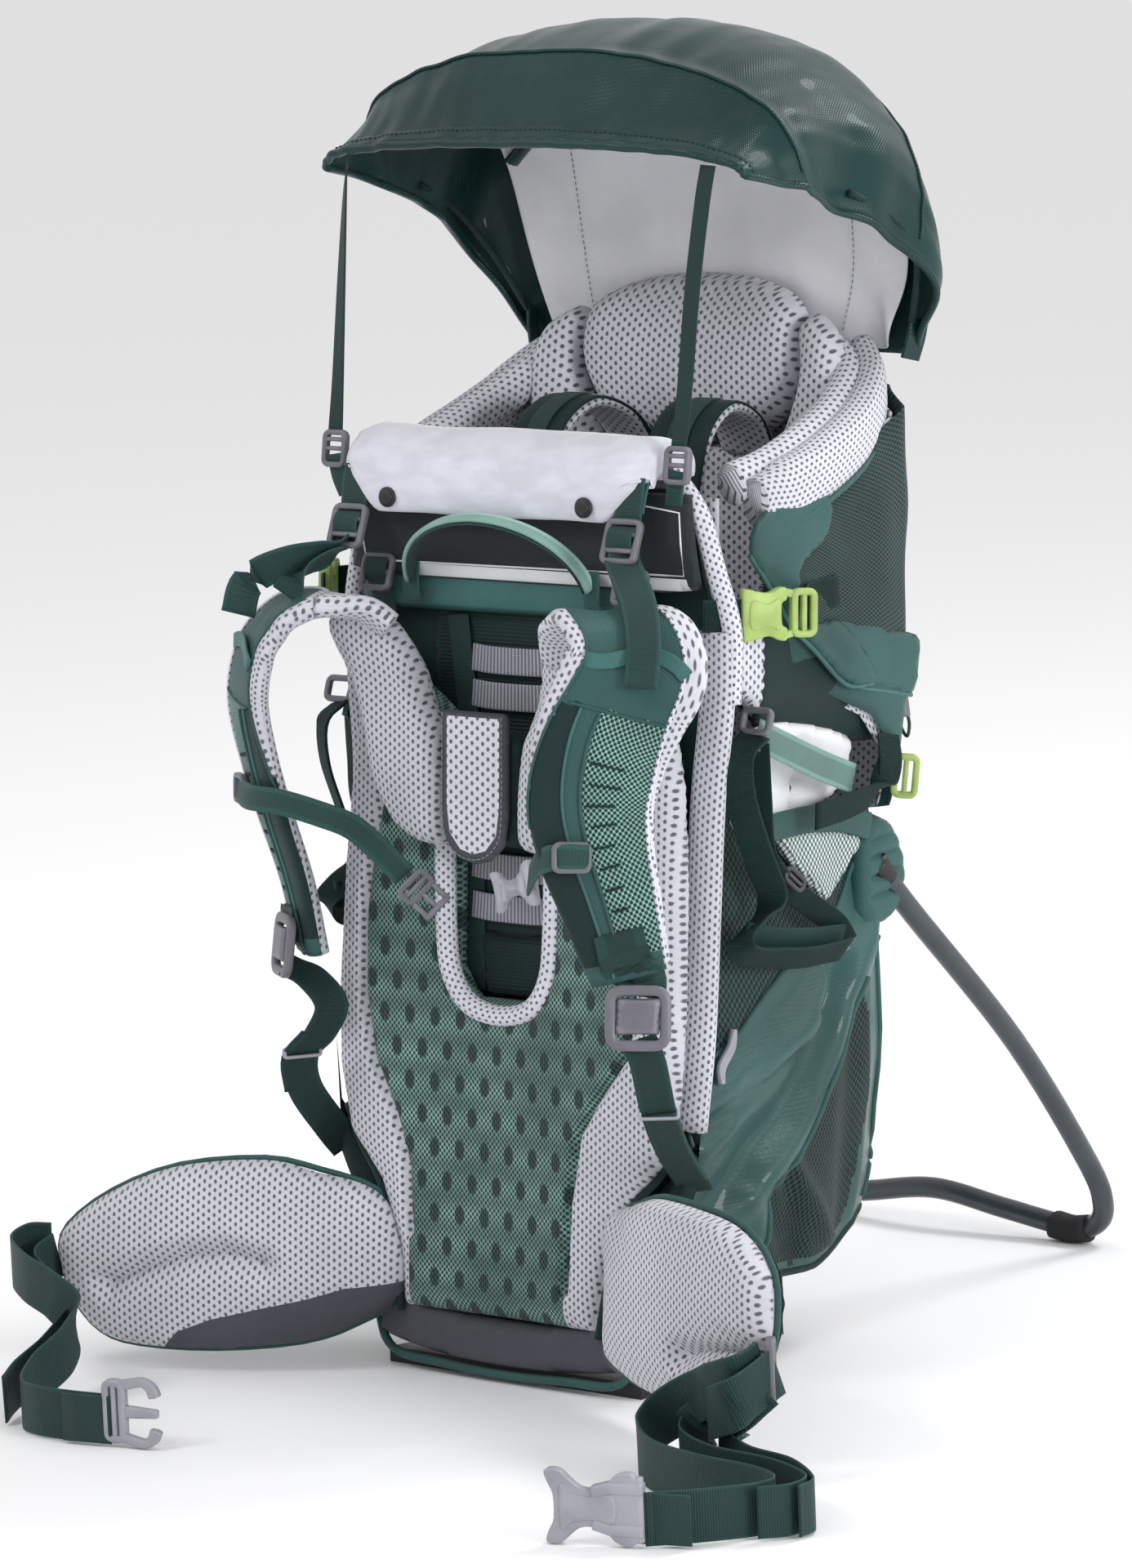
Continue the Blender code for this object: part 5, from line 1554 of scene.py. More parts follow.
def build_chin_pad():
    """Plush sleeve over the top bar, whose flap lies on the front panel and is held by two snaps."""
    profile = [(0.030, 0.716), (0.030, 0.730), (0.018, 0.742), (-0.004, 0.7465), (-0.024, 0.7405),
               (-0.039, 0.726), (-0.0435, 0.710), (-0.0440, 0.696), (-0.0410, 0.6825), (-0.0350, 0.6815),
               (-0.0310, 0.692), (-0.0240, 0.704), (-0.0010, 0.717), (0.012, 0.719), (0.022, 0.716)]
    shape = Shape()
    rows = steps_between(-CHIN_HALF, CHIN_HALF, 60)
    loop = [(p.x, p.y) for p in smooth_path([(y, z, 0) for y, z in profile], 3, closed=True)]
    count = len(loop)
    around = running([Vector((y, z, 0)) for y, z in loop + loop[:1]])
    for x in rows:
        share = abs(x) / CHIN_HALF
        lift = 0.026 * ease(share, 0.72, 0.96)
        end = 1.0 - 0.16 * ease(share, 0.90, 1.0)
        for y, z in loop:
            wave = 0.0014 * noise.noise(Vector((x * 22, y * 30, z * 30)))
            raised = z + lift * ease(0.716 - z, 0.0, 0.03)
            tuck = 0.004 * ease(share, 0.8, 1.0) if y < -0.02 else 0.0
            shape.points.append(Vector((x, 0.0 + y * end + tuck + wave,
                                        0.715 + (raised - 0.715) * end + wave)))
    for i in range(len(rows) - 1):
        for k in range(count):
            n = (k + 1) % count
            shape.face((i * count + k, i * count + n, (i + 1) * count + n, (i + 1) * count + k),
                       ((rows[i], around[k]), (rows[i], around[k + 1]), (rows[i + 1], around[k + 1]),
                        (rows[i + 1], around[k])))
    for base, turn in ((0, -1), ((len(rows) - 1) * count, 1)):
        cap = [base + k for k in range(count)][::turn]
        shape.face(cap, [loop[k - base] for k in cap])
    piece = make("chin_plush", shape, "plush", "chin_pad", ["chin_pad"])
    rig.padded(piece, 0.7)
    for side, s in SIDES:
        snap = Shape()
        centre = Vector((s * 0.096, -0.0445, 0.692))
        for radius, low, high in ((0.0080, 0.0, 0.0016), (0.0062, 0.0016, 0.0030)):
            steps = [(radius, low), (radius, high), (radius * 0.8, high + 0.0007),
                     (radius * 0.3, high + 0.0010)]
            base = len(snap.points)
            for r, out in steps:
                snap.points.extend(centre + Vector((r * cos(2 * pi * k / 20), -out, r * sin(2 * pi * k / 20)))
                                   for k in range(20))
            for row in range(3):
                for k in range(20):
                    n = (k + 1) % 20
                    corners = (base + row * 20 + k, base + row * 20 + n, base + row * 20 + 20 + n,
                               base + row * 20 + 20 + k)
                    snap.face(corners, ((0, 0), (0, 0), (0, 0), (0, 0)))
            snap.face([base + 60 + k for k in range(20)], [(0, 0)] * 20)
            snap.face([base + k for k in reversed(range(20))], [(0, 0)] * 20)
        make("chin_snap_" + side, snap, "black", "chin_pad")
        tab = mirrored([(0.136, -0.0300, 0.716), (0.136, -0.0350, 0.704), (0.135, -0.0375, 0.690)], s)
        web("chin_tab_" + side, tab, 0.026, (1, 0, 0), "pack", "mid")


def front_panel_place(u, v, out):
    """Face of the front panel, which bows a little towards the wearer at half height."""
    return Vector((u, -0.010 - out - 0.006 * sin(pi * (v - 0.606) / 0.13), v))


def build_front_panel():
    """Dark panel behind the handle with a pale printed border, and the band below it; both stay plain."""
    place = front_panel_place
    outline = [(-0.150, 0.704), (0.176, 0.704), (0.182, 0.660), (0.186, 0.632), (0.150, 0.628),
               (-0.120, 0.628), (-0.156, 0.634), (-0.154, 0.662)]
    strip = [(-0.090, 0.630), (0.176, 0.630), (0.174, 0.6395), (-0.096, 0.6395)]
    shape = pad(evenly(outline, 0.02), 0.006, place, 0.006, 0.006, 0.3, zones=[(strip, 1)])
    make("front_panel", shape, "black_cloth white_print", "pack")
    line = [(-0.144, 0.674), (-0.138, 0.640), (0.172, 0.642), (0.168, 0.690), (0.100, 0.698)]
    border = [place(u, v, 0.0046) for u, v in evenly(line, 0.02, closed=False)]
    make("front_panel_border", sweep(border, pad_section(0.0014, 0.0008), (0, 0.1, 1)), "white_print", "pack")
    band = [(-0.150, 0.637), (0.138, 0.635), (0.136, 0.605), (-0.146, 0.603)]
    shape = pad(evenly(band, 0.02), 0.004, facing(-0.0110), 0.007, 0.003)
    make("top_band", shape, "light_green", "pack")
    for side, s in SIDES:
        line = mirrored([(0.150, -0.008, 0.722), (0.176, -0.006, 0.690), (0.190, -0.002, 0.645),
                         (0.202, 0.002, 0.600), (0.200, 0.004, 0.545), (0.192, 0.004, 0.470),
                         (0.188, 0.004, 0.380), (0.184, 0.004, 0.290), (0.176, 0.004, 0.215)], s)
        if s < 0:
            line = [(x * (0.95 - 0.12 * ease(z, 0.25, 0.50)), y, z) for x, y, z in line]
        edge = make("edge_pad_" + side, tube(line[:5], 0.0080, 6, 14), "mesh_small", "pack")
        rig.padded(edge, 0.6)
        make("edge_piping_" + side, tube([(x, y - 0.004, z) for x, y, z in line], 0.0030, 6, 10), "mint",
             "pack")
        side_run = [(x - s * 0.010, y - 0.004, z) for x, y, z in line[3:]]
        run = make("side_run_" + side,
                   sweep(smooth_path(side_run, 6), pad_section(0.030, 0.018, 0.7), (1, 0, 0)), "mesh", "pack")
        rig.padded(run, 0.6)


def build_handle():
    """Grab handle: a mint webbing arc under a darker outer ply."""
    for name, drop, thick, finish in (("inner", 0.0034, 0.0026, "web"), ("outer", 0.0, 0.0046, "web_mint")):
        arc = [((0.088 - drop) * cos(pi * k / 16), -0.026 - 0.029 * sin(pi * k / 16),
                0.628 + (0.053 - drop) * sin(pi * k / 16)) for k in range(17)]
        make("handle_" + name, sweep(smooth_path(arc, 3), pad_section(0.0120, thick, 0.5, 16), (0, 1, 0.35)),
             finish, "handle", ["grab_handle"] if name == "outer" else [])
    for side, s in SIDES:
        end = mirrored([(0.088, -0.0250, 0.642), (0.0885, -0.0250, 0.624), (0.0885, -0.0220, 0.610)], s)
        web("handle_end_" + side, end, 0.016, (1, 0, 0), "pack", "mid")


# ---------------------------------------------------------------- cockpit and seat

def cockpit_wall_place(u, v):
    """Seat wall: u runs round the plan from right (0) to left (1), v from its low edge to its high edge."""
    half = [(0.186, 0.060, 0.590, 0.690), (0.189, 0.100, 0.562, 0.700), (0.190, 0.150, 0.540, 0.716),
            (0.191, 0.204, 0.520, 0.738), (0.188, 0.246, 0.480, 0.760), (0.160, 0.270, 0.440, 0.776),
            (0.080, 0.276, 0.430, 0.790), (0.0, 0.278, 0.430, 0.796)]
    full = half + [(-x, y, low, high) for x, y, low, high in reversed(half[:-1])]
    place = u * (len(full) - 1)
    k = min(int(place), len(full) - 2)
    a, b = full[k], full[k + 1]
    t = place - k
    x, y, low, high = (p + (q - p) * t for p, q in zip(a, b))
    z = low + (high - low) * v
    out = Vector((x, y - 0.12, 0)).normalized()
    bulge = 0.006 * sin(pi * v) + 0.0035 * noise.noise(Vector((u * 16, v * 5, 1.3)))
    return Vector((x, y, z)) + out * bulge


def seat_lining_place(u, v):
    """The seat wall's shape, moved in from both sides and towards the wearer."""
    return cockpit_wall_place(u, v) + Vector((-0.006 if u < 0.5 else 0.006, -0.008, 0))


def rim_section(t):
    """Section of the padded rim, narrower at its front end."""
    return pad_section(0.054 - 0.014 * (1 - ease(t, 0.0, 0.16)), 0.024, 0.62, 22)


def build_cockpit():
    wall = surface(cockpit_wall_place, steps_between(0, 1, 90), steps_between(0, 1, 22),
                   lambda u, v: 1 if v > 0.34 and (0.03 < u < 0.36 or 0.64 < u < 0.97) else 0)
    piece = thicken(make("seat_wall", wall, "mid net_dark", "pack", ["cockpit_wall"], closed=False), 0.0014)
    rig.sheet(piece, flat=(0.74, 0.34), held="stretched", rests_on=["side_strut_left", "side_strut_right"])
    lining = surface(seat_lining_place, steps_between(0.02, 0.98, 60), steps_between(0.0, 0.98, 10))
    piece = thicken(make("seat_wall_lining", lining, "mesh_round", "pack", closed=False), 0.0014)
    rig.sheet(piece, flat=(0.72, 0.33), held="stretched", rests_on=["seat_wall"])
    half_rim = [(0.186, 0.052, 0.694), (0.190, 0.090, 0.704), (0.190, 0.140, 0.722), (0.184, 0.190, 0.744),
                (0.168, 0.232, 0.770), (0.140, 0.256, 0.792)]
    for side, s in SIDES:
        rim = smooth_path(mirrored(half_rim, s), 8)
        piece = make("rim_band_" + side, sweep(rim, rim_section, (s * 0.10, -0.22, 1)), "mesh", "pack",
                     ["rim_pad_" + side])
        stuff(piece, 0.0025, 0.8)
        roll = [(s * (x - 0.019), y - 0.004, z + 0.014) for x, y,
                z in half_rim[:-1]] + [(s * 0.118, 0.238, 0.806)]
        inner = make("rim_roll_" + side,
                     sweep(smooth_path(roll, 8), pad_section(0.034, 0.028, 0.8, 18), (0, -0.2, 1)),
                     "mesh_round", "pack")
        stuff(inner, 0.002, 0.8)
        seam = [(s * (x + 0.0100), y, z - 0.0255) for x, y, z in half_rim]
        make("rim_seam_" + side, tube(seam, 0.0022, 8, 8), "mid", "pack")
    build_head_pad()
    build_seat()
    build_side_flaps()


def build_head_pad():
    """Head cushion: a crowned middle pillow between two side lobes, sewn to the wall."""
    def place(u, v, out):
        curve = 0.020 * (abs(u) / 0.135) ** 2
        lean_back = 0.014 * (v - 0.68) / 0.17
        return Vector((u, 0.236 + lean_back - curve - out, v))

    middle = [(-0.088, 0.752), (-0.056, 0.732), (0.0, 0.726), (0.056, 0.732), (0.088, 0.752), (0.108, 0.792),
              (0.102, 0.834), (0.066, 0.854), (0.0, 0.861), (-0.066, 0.854), (-0.102, 0.834), (-0.108, 0.792)]
    shape = pad(rounded(middle, 5), 0.036, place, 0.0048, 0.022, 0.25, crown=0.35)
    stuff(make("head_pillow", shape, "mesh_round", "pack", ["head_pad"]), 0.005, 0.9)
    for side, s in SIDES:
        lobe = [(0.094, 0.694), (0.124, 0.686), (0.146, 0.716), (0.154, 0.770), (0.146, 0.812),
                (0.122, 0.832), (0.104, 0.822), (0.108, 0.784), (0.094, 0.744), (0.078, 0.716)]
        shape = pad(rounded(mirrored(lobe, s), 5), 0.030, place, 0.005, 0.018, 0.3, crown=0.2)
        stuff(make("head_lobe_" + side, shape, "mesh_round", "pack"), 0.004, 0.8)
    lower = [(-0.092, 0.560), (0.092, 0.560), (0.100, 0.640), (0.088, 0.722), (0.050, 0.730), (0.0, 0.727),
             (-0.050, 0.730), (-0.088, 0.722), (-0.100, 0.640)]
    spine = [(0.0, 0.575), (0.0, 0.640), (0.0, 0.715)]
    shape = pad(rounded(lower, 4), 0.024, facing(0.244), 0.0055, 0.014, 0.3, [(spine, 0.010, 0.006)])
    stuff(make("seat_back", shape, "mesh_round", "pack"), 0.003, 0.7)


def child_strap_section(t):
    """Section of a child's shoulder strap, narrower at its lower end."""
    return pad_section(0.050 - 0.012 * ease(t, 0.75, 1.0), 0.011, 0.6, 18)


def front_lining_place(u, v):
    """Lining in front of the child: bowed towards the child, with slight ripples."""
    ripple = 0.0035 * noise.noise(Vector((u * 3, v * 4, 0.4)))
    return Vector((u * 0.165, 0.034 + 0.010 * (1 - u * u) + ripple, 0.436 + 0.262 * v))


def build_seat():
    outline = [(-0.104, 0.060), (0.0, 0.056), (0.104, 0.060), (0.114, 0.120), (0.104, 0.222), (0.0, 0.226),
               (-0.104, 0.222), (-0.114, 0.120)]
    channel = [([(x, 0.075), (x, 0.205)], 0.010, 0.005) for x in (-0.04, 0.04)]
    shape = pad(rounded(outline, 4), 0.020, lambda u, v, out: Vector((u, v, 0.457 + out)), 0.006, 0.014, 0.3,
                channel)
    stuff(make("seat_cushion", shape, "mesh_round", "seat", ["seat_pad"]), 0.004, 0.8)
    for side, s in SIDES:
        path = mirrored([(0.056, 0.226, 0.722), (0.060, 0.200, 0.748), (0.065, 0.160, 0.760),
                         (0.069, 0.124, 0.742), (0.070, 0.108, 0.705), (0.068, 0.104, 0.655),
                         (0.064, 0.112, 0.600)], s)
        curve = smooth_path(path, 8)
        piece = make("child_strap_pad_" + side, sweep(curve, child_strap_section, (1, 0.1 * s, 0)),
                     "mesh_round", "pack", ["child_strap_" + side])
        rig.padded(piece, 0.7)
        cover = [p + Vector((0, -0.0052, 0.0038)) for p in curve]
        make("child_strap_cover_" + side, sweep(cover, pad_section(0.054, 0.0030, 0.4, 14), (1, 0.1 * s, 0)),
             "dark", "pack")
        run = [p + Vector((0, -0.0072, 0.0058)) for p in curve[6:]]
        make("child_strap_webbing_" + side, sweep(run, web_section(0.020), (1, 0.1 * s, 0), flat=True), "web",
             "pack")
        belt = mirrored([(0.064, 0.112, 0.606), (0.066, 0.120, 0.560), (0.080, 0.150, 0.500),
                         (0.100, 0.190, 0.478)], s)
        web("child_belt_" + side, belt, 0.020, (1, 0, 0), ("pack", "seat", belt[0], belt[-1]), "web_dark")
    lining = surface(front_lining_place, steps_between(-1, 1, 40), steps_between(0, 1, 30))
    piece = thicken(make("front_lining", lining, "mesh_round", "pack", closed=False), 0.003)
    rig.sheet(piece, flat=(0.335, 0.265), held="stretched", rests_on=["back_plate"])


def side_point(s, y, z, out=0.0):
    """Point on the outside of the seat's side wall."""
    return Vector((s * (0.188 - 0.026 * ease(0.56 - z, 0.0, 0.10) + out), y, z))


def side_pad(name, side, s, outline, thick, out, finish, **more):
    shape = pad(rounded(outline, 4), thick, lambda u, v, w: side_point(s, u, v, out + w), 0.006, **more)
    return make(name + "_" + side, shape, finish, "pack")


def build_side_flaps():
    """Flap, band, leg panel whose dark cloth paints the shade on this recessed inner layer, pale lining and inner mesh
    on each side of the seat.
    """
    flap = [(0.030, 0.656), (0.046, 0.688), (0.128, 0.702), (0.134, 0.668), (0.096, 0.640), (0.112, 0.600),
            (0.150, 0.598), (0.190, 0.566), (0.196, 0.546), (0.160, 0.548), (0.118, 0.576), (0.086, 0.598),
            (0.060, 0.626)]
    band = [(0.150, 0.600), (0.196, 0.588), (0.258, 0.580), (0.262, 0.556), (0.258, 0.532), (0.220, 0.538),
            (0.180, 0.544), (0.160, 0.560)]
    leg = [(0.058, 0.604), (0.110, 0.596), (0.150, 0.576), (0.217, 0.552), (0.248, 0.540), (0.246, 0.500),
           (0.174, 0.502), (0.079, 0.521), (0.056, 0.529)]
    lining = [(0.036, 0.505), (0.086, 0.524), (0.182, 0.508), (0.202, 0.489), (0.192, 0.460), (0.147, 0.444),
              (0.110, 0.436), (0.069, 0.432), (0.046, 0.444)]
    mesh = [(0.022, 0.606), (0.084, 0.592), (0.082, 0.524), (0.037, 0.545), (0.024, 0.568)]
    for side, s in SIDES:
        side_pad("side_flap", side, s, flap, 0.005, 0.010, "mid", rim=0.004, back=0.3,
                 grooves=[([(0.050, 0.640), (0.090, 0.616), (0.150, 0.572)], 0.012, 0.003)])
        side_pad("seat_band", side, s, band, 0.004, 0.007, "mid", rim=0.004, back=0.3)
        # The leg panel sits back, below the flap and band. Its dark cloth is painted shade on this inner layer.
        side_pad("leg_panel", side, s, leg, 0.005, 0.000, "dark", rim=0.004, back=0.3)
        folds = [([(0.120, 0.510), (0.128, 0.474), (0.120, 0.440)], 0.007, 0.004),
                 ([(0.060, 0.490), (0.110, 0.470), (0.128, 0.474)], 0.010, 0.004)]
        pouch = side_pad("leg_lining", side, s, lining, 0.012, 0.002, "lining", rim=0.014, back=0.3,
                         grooves=folds)
        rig.padded(pouch, 0.3)
        inner = side_pad("leg_mesh", side, s, mesh, 0.010, -0.004, "mesh_round", rim=0.006, back=0.3)
        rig.padded(inner, 0.5)
        edge = [side_point(s, y, z, 0.010) for y, z in ((0.196, 0.546), (0.160, 0.548), (0.118, 0.576),
                                                        (0.086, 0.598), (0.060, 0.626), (0.030, 0.656))]
        make("seat_band_piping_" + side, tube(edge, 0.0020, 6, 8), "light_green", "pack")
        hem = [side_point(s, y, z, 0.008) for y, z in ((0.180, 0.544), (0.220, 0.538), (0.258, 0.532))]
        make("side_flap_piping_" + side, tube(hem, 0.0018, 6, 8), "light_green", "pack")
        post = [(s * 0.172, y, z) for y, z in ((0.022, 0.607), (0.024, 0.542), (0.021, 0.482), (0.016, 0.421),
                                               (0.012, 0.367))]
        make("side_edge_piping_" + side, tube(post, 0.0030, 6, 8), "mid", "pack")
    build_side_straps()


def build_side_straps():
    for side, s in SIDES:
        start = Vector((s * 0.205, 0.010, 0.612))
        along = Vector((s * 0.52, 0.85, 0.02)).normalized()
        up = Vector((0, 0, 1))
        body = "side_release_" + side
        belt = [(s * 0.186, -0.014, 0.612), (s * 0.196, -0.004, 0.612), start + along * 0.006]
        web("side_belt_front_" + side, belt, WEB_WIDE, up, "pack")
        female = [(0.000, 0.0170), (0.004, 0.0200), (0.012, 0.0180), (0.022, 0.0165), (0.030, 0.0200),
                  (0.036, 0.0195), (0.036, 0.0110), (0.032, 0.0080)]
        outline = female + [(u, -v) for u, v in reversed(female)]
        shape = plate(rounded(outline, 3), start, along, up, 0.0095)
        inner = [(0.006, 0.011), (0.020, 0.0085), (0.030, 0.012), (0.030, -0.012), (0.020, -0.0085),
                 (0.006, -0.011)]
        shape.join(plate(rounded(inner, 3), start, along, up, 0.0115))
        bevel(make("belt_socket_" + side, shape, "lime", "pack", ["side_buckle_female_" + side]), 0.0012)
        centre = start + along * 0.047
        shape = frame_ring(centre + along * 0.004, up, along, 0.038, 0.022, 0.0085, bar=0.0058, bars=(0.0,))
        for sign in (-1, 1):
            arm = [centre + along * u + up * v * sign for u,
                   v in ((-0.006, 0.0150), (-0.014, 0.0165), (-0.022, 0.0130))]
            shape.join(sweep(smooth_path(arm, 3), pad_section(0.0062, 0.0070), up))
        make("belt_prong_" + side, shape, "lime", body, ["side_buckle_male_" + side])
        rear = [centre + along * 0.008, centre + along * 0.020 + Vector((-s * 0.012, 0, 0)),
                (s * 0.196, 0.110, 0.618),
                (s * 0.196, 0.150, 0.622)]
        web("side_belt_rear_" + side, rear, WEB_WIDE, up, body)
        build_stirrup(side, s)


def build_stirrup(side, s):
    """Height webbing with its ring and lock, and the foot loop hanging from them."""
    ring("stirrup_ring_top_" + side, (s * 0.205, 0.030, 0.530), (1, 0, 0), (0, 0.3, 1), 0.030, 0.022, 0.0055,
         "pack", "silver_plastic", ["stirrup_ring_" + side], bar=0.0050, bars=())
    mint = mirrored([(0.203, 0.034, 0.520), (0.204, 0.075, 0.504), (0.203, 0.120, 0.488),
                     (0.200, 0.166, 0.474)], s)
    web("height_webbing_" + side, mint, 0.024, (0, 0.36, 0.93), "pack", "web_mint")
    dark = mirrored([(0.194, 0.222, 0.504), (0.200, 0.216, 0.482), (0.203, 0.194, 0.462),
                     (0.204, 0.156, 0.454), (0.203, 0.112, 0.449)], s)
    turns = turning((0.2 * s, 1.0, 0.1), (0.1 * s, 0.25, 1.0), 25)
    web("height_webbing_loop_" + side, dark, 0.022, turns, "pack", "web")
    rear = mirrored([(0.198, 0.205, 0.478), (0.190, 0.236, 0.474), (0.176, 0.252, 0.474)], s)
    web("height_webbing_rear_" + side, rear, 0.024, (0, 0.1, 1), "pack", "web")
    ring("height_lock_" + side, (s * 0.190, 0.252, 0.468), (0.1, 0, 1), (s * 0.80, 0.60, 0), 0.036, 0.022,
         0.0065, "pack", "lime", bar=0.0055, bars=(0.0,))
    body = "stirrup_" + side
    x = s * 0.205
    front = [(0.030, 0.520), (0.008, 0.505), (0.010, 0.474), (0.026, 0.440), (0.040, 0.415), (0.052, 0.396),
             (0.047, 0.383), (0.027, 0.372), (0.013, 0.361), (0.022, 0.350), (0.056, 0.345), (0.100, 0.341),
             (0.150, 0.342)]
    turns = turning((STRAP_ACROSS[0] * s, STRAP_ACROSS[1], 0.0), (0.62 * s, 0.0, 0.78), 73)
    web("stirrup_front_" + side, [(x, y, z) for y, z in front], 0.024, turns, body, "web", 0.0024,
        replaces=["stirrup_" + side])
    rear = [(0.036, 0.512), (0.040, 0.470), (0.046, 0.428), (0.071, 0.401), (0.113, 0.378), (0.141, 0.363),
            (0.156, 0.347)]
    rear_x = x - s * 0.004
    web("stirrup_rear_" + side, [(rear_x, y, z) for y, z in rear], 0.020, (0.62 * s, 0.30, 0.72), body, "web",
        0.0022)
    cuff = [(x - s * 0.003, y, z) for y,
            z in ((0.020, 0.366), (0.060, 0.358), (0.110, 0.353), (0.150, 0.352))]
    web("stirrup_cuff_" + side, cuff, 0.022, (0.30 * s, 0.1, 0.95), body, "mid", 0.0030)
    ring("stirrup_slider_" + side, (x + s * 0.002, 0.078, 0.404), (0.2, 0.75, -0.62), (0, 0.62, 0.78), 0.024,
         0.014, 0.0050, body, "grey_plastic", bar=0.0036, bars=(0.0,))


# ---------------------------------------------------------------- lower bag

BAG_PLAN = ((0.170, -0.002), (0.178, 0.040), (0.181, 0.100), (0.181, 0.170), (0.178, 0.226), (0.164, 0.256),
            (0.110, 0.270), (0.0, 0.274))
BAG_LEFT_IN = 0.014             # the left side's front edge sits further in
NET_LINE = [(0.000, 0.262), (0.040, 0.280), (0.072, 0.304), (0.114, 0.332), (0.151, 0.353), (0.189, 0.371),
            (0.217, 0.407), (0.232, 0.431)]
POCKET_EDGE = [(0.211, 0.312), (0.204, 0.294), (0.181, 0.255), (0.150, 0.217), (0.134, 0.189), (0.111, 0.167),
               (0.095, 0.152), (0.090, 0.131), (0.089, 0.103)]
POCKET_LOW = [(0.135, 0.090), (0.188, 0.098), (0.214, 0.119), (0.220, 0.172), (0.227, 0.213), (0.224, 0.281)]
REAR_SEAM = [(0.240, 0.340), (0.248, 0.317), (0.256, 0.181), (0.256, 0.153), (0.245, 0.129)]
# Folds of the bag's sides: (line of y and z, half width, height)
BAG_FOLDS = (
    ([(0.180, 0.330), (0.162, 0.277), (0.138, 0.241), (0.110, 0.217), (0.069, 0.192), (0.028, 0.153)], 0.013,
     -0.011),
    ([(0.254, 0.418), (0.247, 0.379), (0.228, 0.345), (0.199, 0.306), (0.171, 0.265), (0.143, 0.224),
      (0.115, 0.191), (0.092, 0.172), (0.074, 0.152), (0.083, 0.121)], 0.012, 0.010),
    ([(0.156, 0.311), (0.114, 0.282), (0.054, 0.256), (0.004, 0.233)], 0.012, 0.009),
    ([(0.138, 0.280), (0.082, 0.248), (0.041, 0.220), (0.009, 0.197)], 0.010, 0.008),
    ([(0.120, 0.262), (0.060, 0.234), (0.012, 0.214)], 0.007, -0.006),
    ([(0.060, 0.150), (0.050, 0.120), (0.062, 0.100)], 0.010, 0.006),
    ([(0.097, 0.155), (0.140, 0.090)], 0.008, -0.006),
    ([(0.116, 0.166), (0.149, 0.092)], 0.007, -0.005),
    ([(0.125, 0.168), (0.154, 0.136), (0.188, 0.097)], 0.008, 0.006),
    ([(0.200, 0.290), (0.196, 0.200), (0.204, 0.120)], 0.012, -0.004),
)


def bag_floor_height(y):
    return 0.084 + 0.016 * (1 - ease(y, 0.02, 0.12)) + 0.036 * ease(y, 0.16, 0.26)


def bag_top_height(y):
    return 0.500 - 0.060 * ease(y, 0.05, 0.20)


def bag_relief(y, z):
    """Height of the folds on the bag's side."""
    here = np.array([[y, z]])
    return sum(height * ease(1 - distance_to(here, line, False)[0] / (2 * half), 0.0, 1.0)
               for line, half, height in BAG_FOLDS)


def bag_point(u, v):
    """Side and rear of the lower bag: u round the plan, v from its floor to its top, with fabric folds."""
    left = [(-x + BAG_LEFT_IN * (1 - ease(y, 0.0, 0.08)), y) for x, y in reversed(BAG_PLAN[:-1])]
    full = list(BAG_PLAN) + left
    place = u * (len(full) - 1)
    k = min(int(place), len(full) - 2)
    x, y = (a + (b - a) * (place - k) for a, b in zip(full[k], full[k + 1]))
    z = bag_floor_height(y) + (bag_top_height(y) - bag_floor_height(y)) * v
    side = 1 if x > 0 else -1
    belly = 0.010 * sin(pi * min(1.0, v * 1.15)) - 0.006 * (1 - v) ** 6
    on_side = ease(abs(x), 0.12, 0.168)
    fold = bag_relief(y, z) * on_side * ease(v, 0.0, 0.06) if on_side else 0.0
    crumple = 0.0035 * noise.noise(Vector((x * 12, y * 22, z * 14)))
    out = Vector((x * 0.6, y - 0.12, 0)).normalized() if abs(x) < 0.16 else Vector((side, 0, 0))
    return Vector((x, y, z)) + out * (belly + fold + crumple - 0.012)


def bag_zone(u, v):
    """Net above the net line and on the rear pocket, plain cloth elsewhere."""
    point = bag_point(u, v)
    if abs(point.x) < 0.13:
        return 0
    here = np.array([[point.y, point.z]])
    upper = [(-0.05, 0.262)] + NET_LINE + [(0.240, 0.431), (0.240, 0.60), (-0.05, 0.60)]
    if inside(here, upper)[0]:
        return 1
    return 2 if inside(here, POCKET_EDGE + POCKET_LOW)[0] else 0


def build_bag():
    shell = surface(bag_point, steps_between(0, 1, 260), steps_between(0, 1, 84), bag_zone)
    piece = thicken(make("bag_shell", shell, "bag net_dark net_pocket", "pack",
                         ["lower_bag", "side_panel_left", "side_panel_right"], closed=False), 0.0014)
    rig.sheet(piece, flat=(0.90, 0.40), held="hung",
             rests_on=["back_plate", "side_strut_left", "side_strut_right"])
    for side, s in SIDES:
        foot = [bag_point(u if s > 0 else 1 - u, 0.0) for u in steps_between(0, 0.5, 40)]
        make("bag_base_piping_" + side, sweep(foot, round_section(0.0030, 8)), "dark", "pack")
    floor_shape = surface(lambda u, v: bag_point(u * 0.5, 0.004).lerp(bag_point(1 - u * 0.5, 0.004), v)
                          + Vector((0, 0, 0.003)), steps_between(0, 1, 40), steps_between(0, 1, 20))
    piece = thicken(make("bag_floor", floor_shape, "dark", "pack", closed=False), 0.0014)
    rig.sheet(piece, flat=(0.35, 0.28), held="stretched", rests_on=["bag_shell"])
    build_bag_sides()


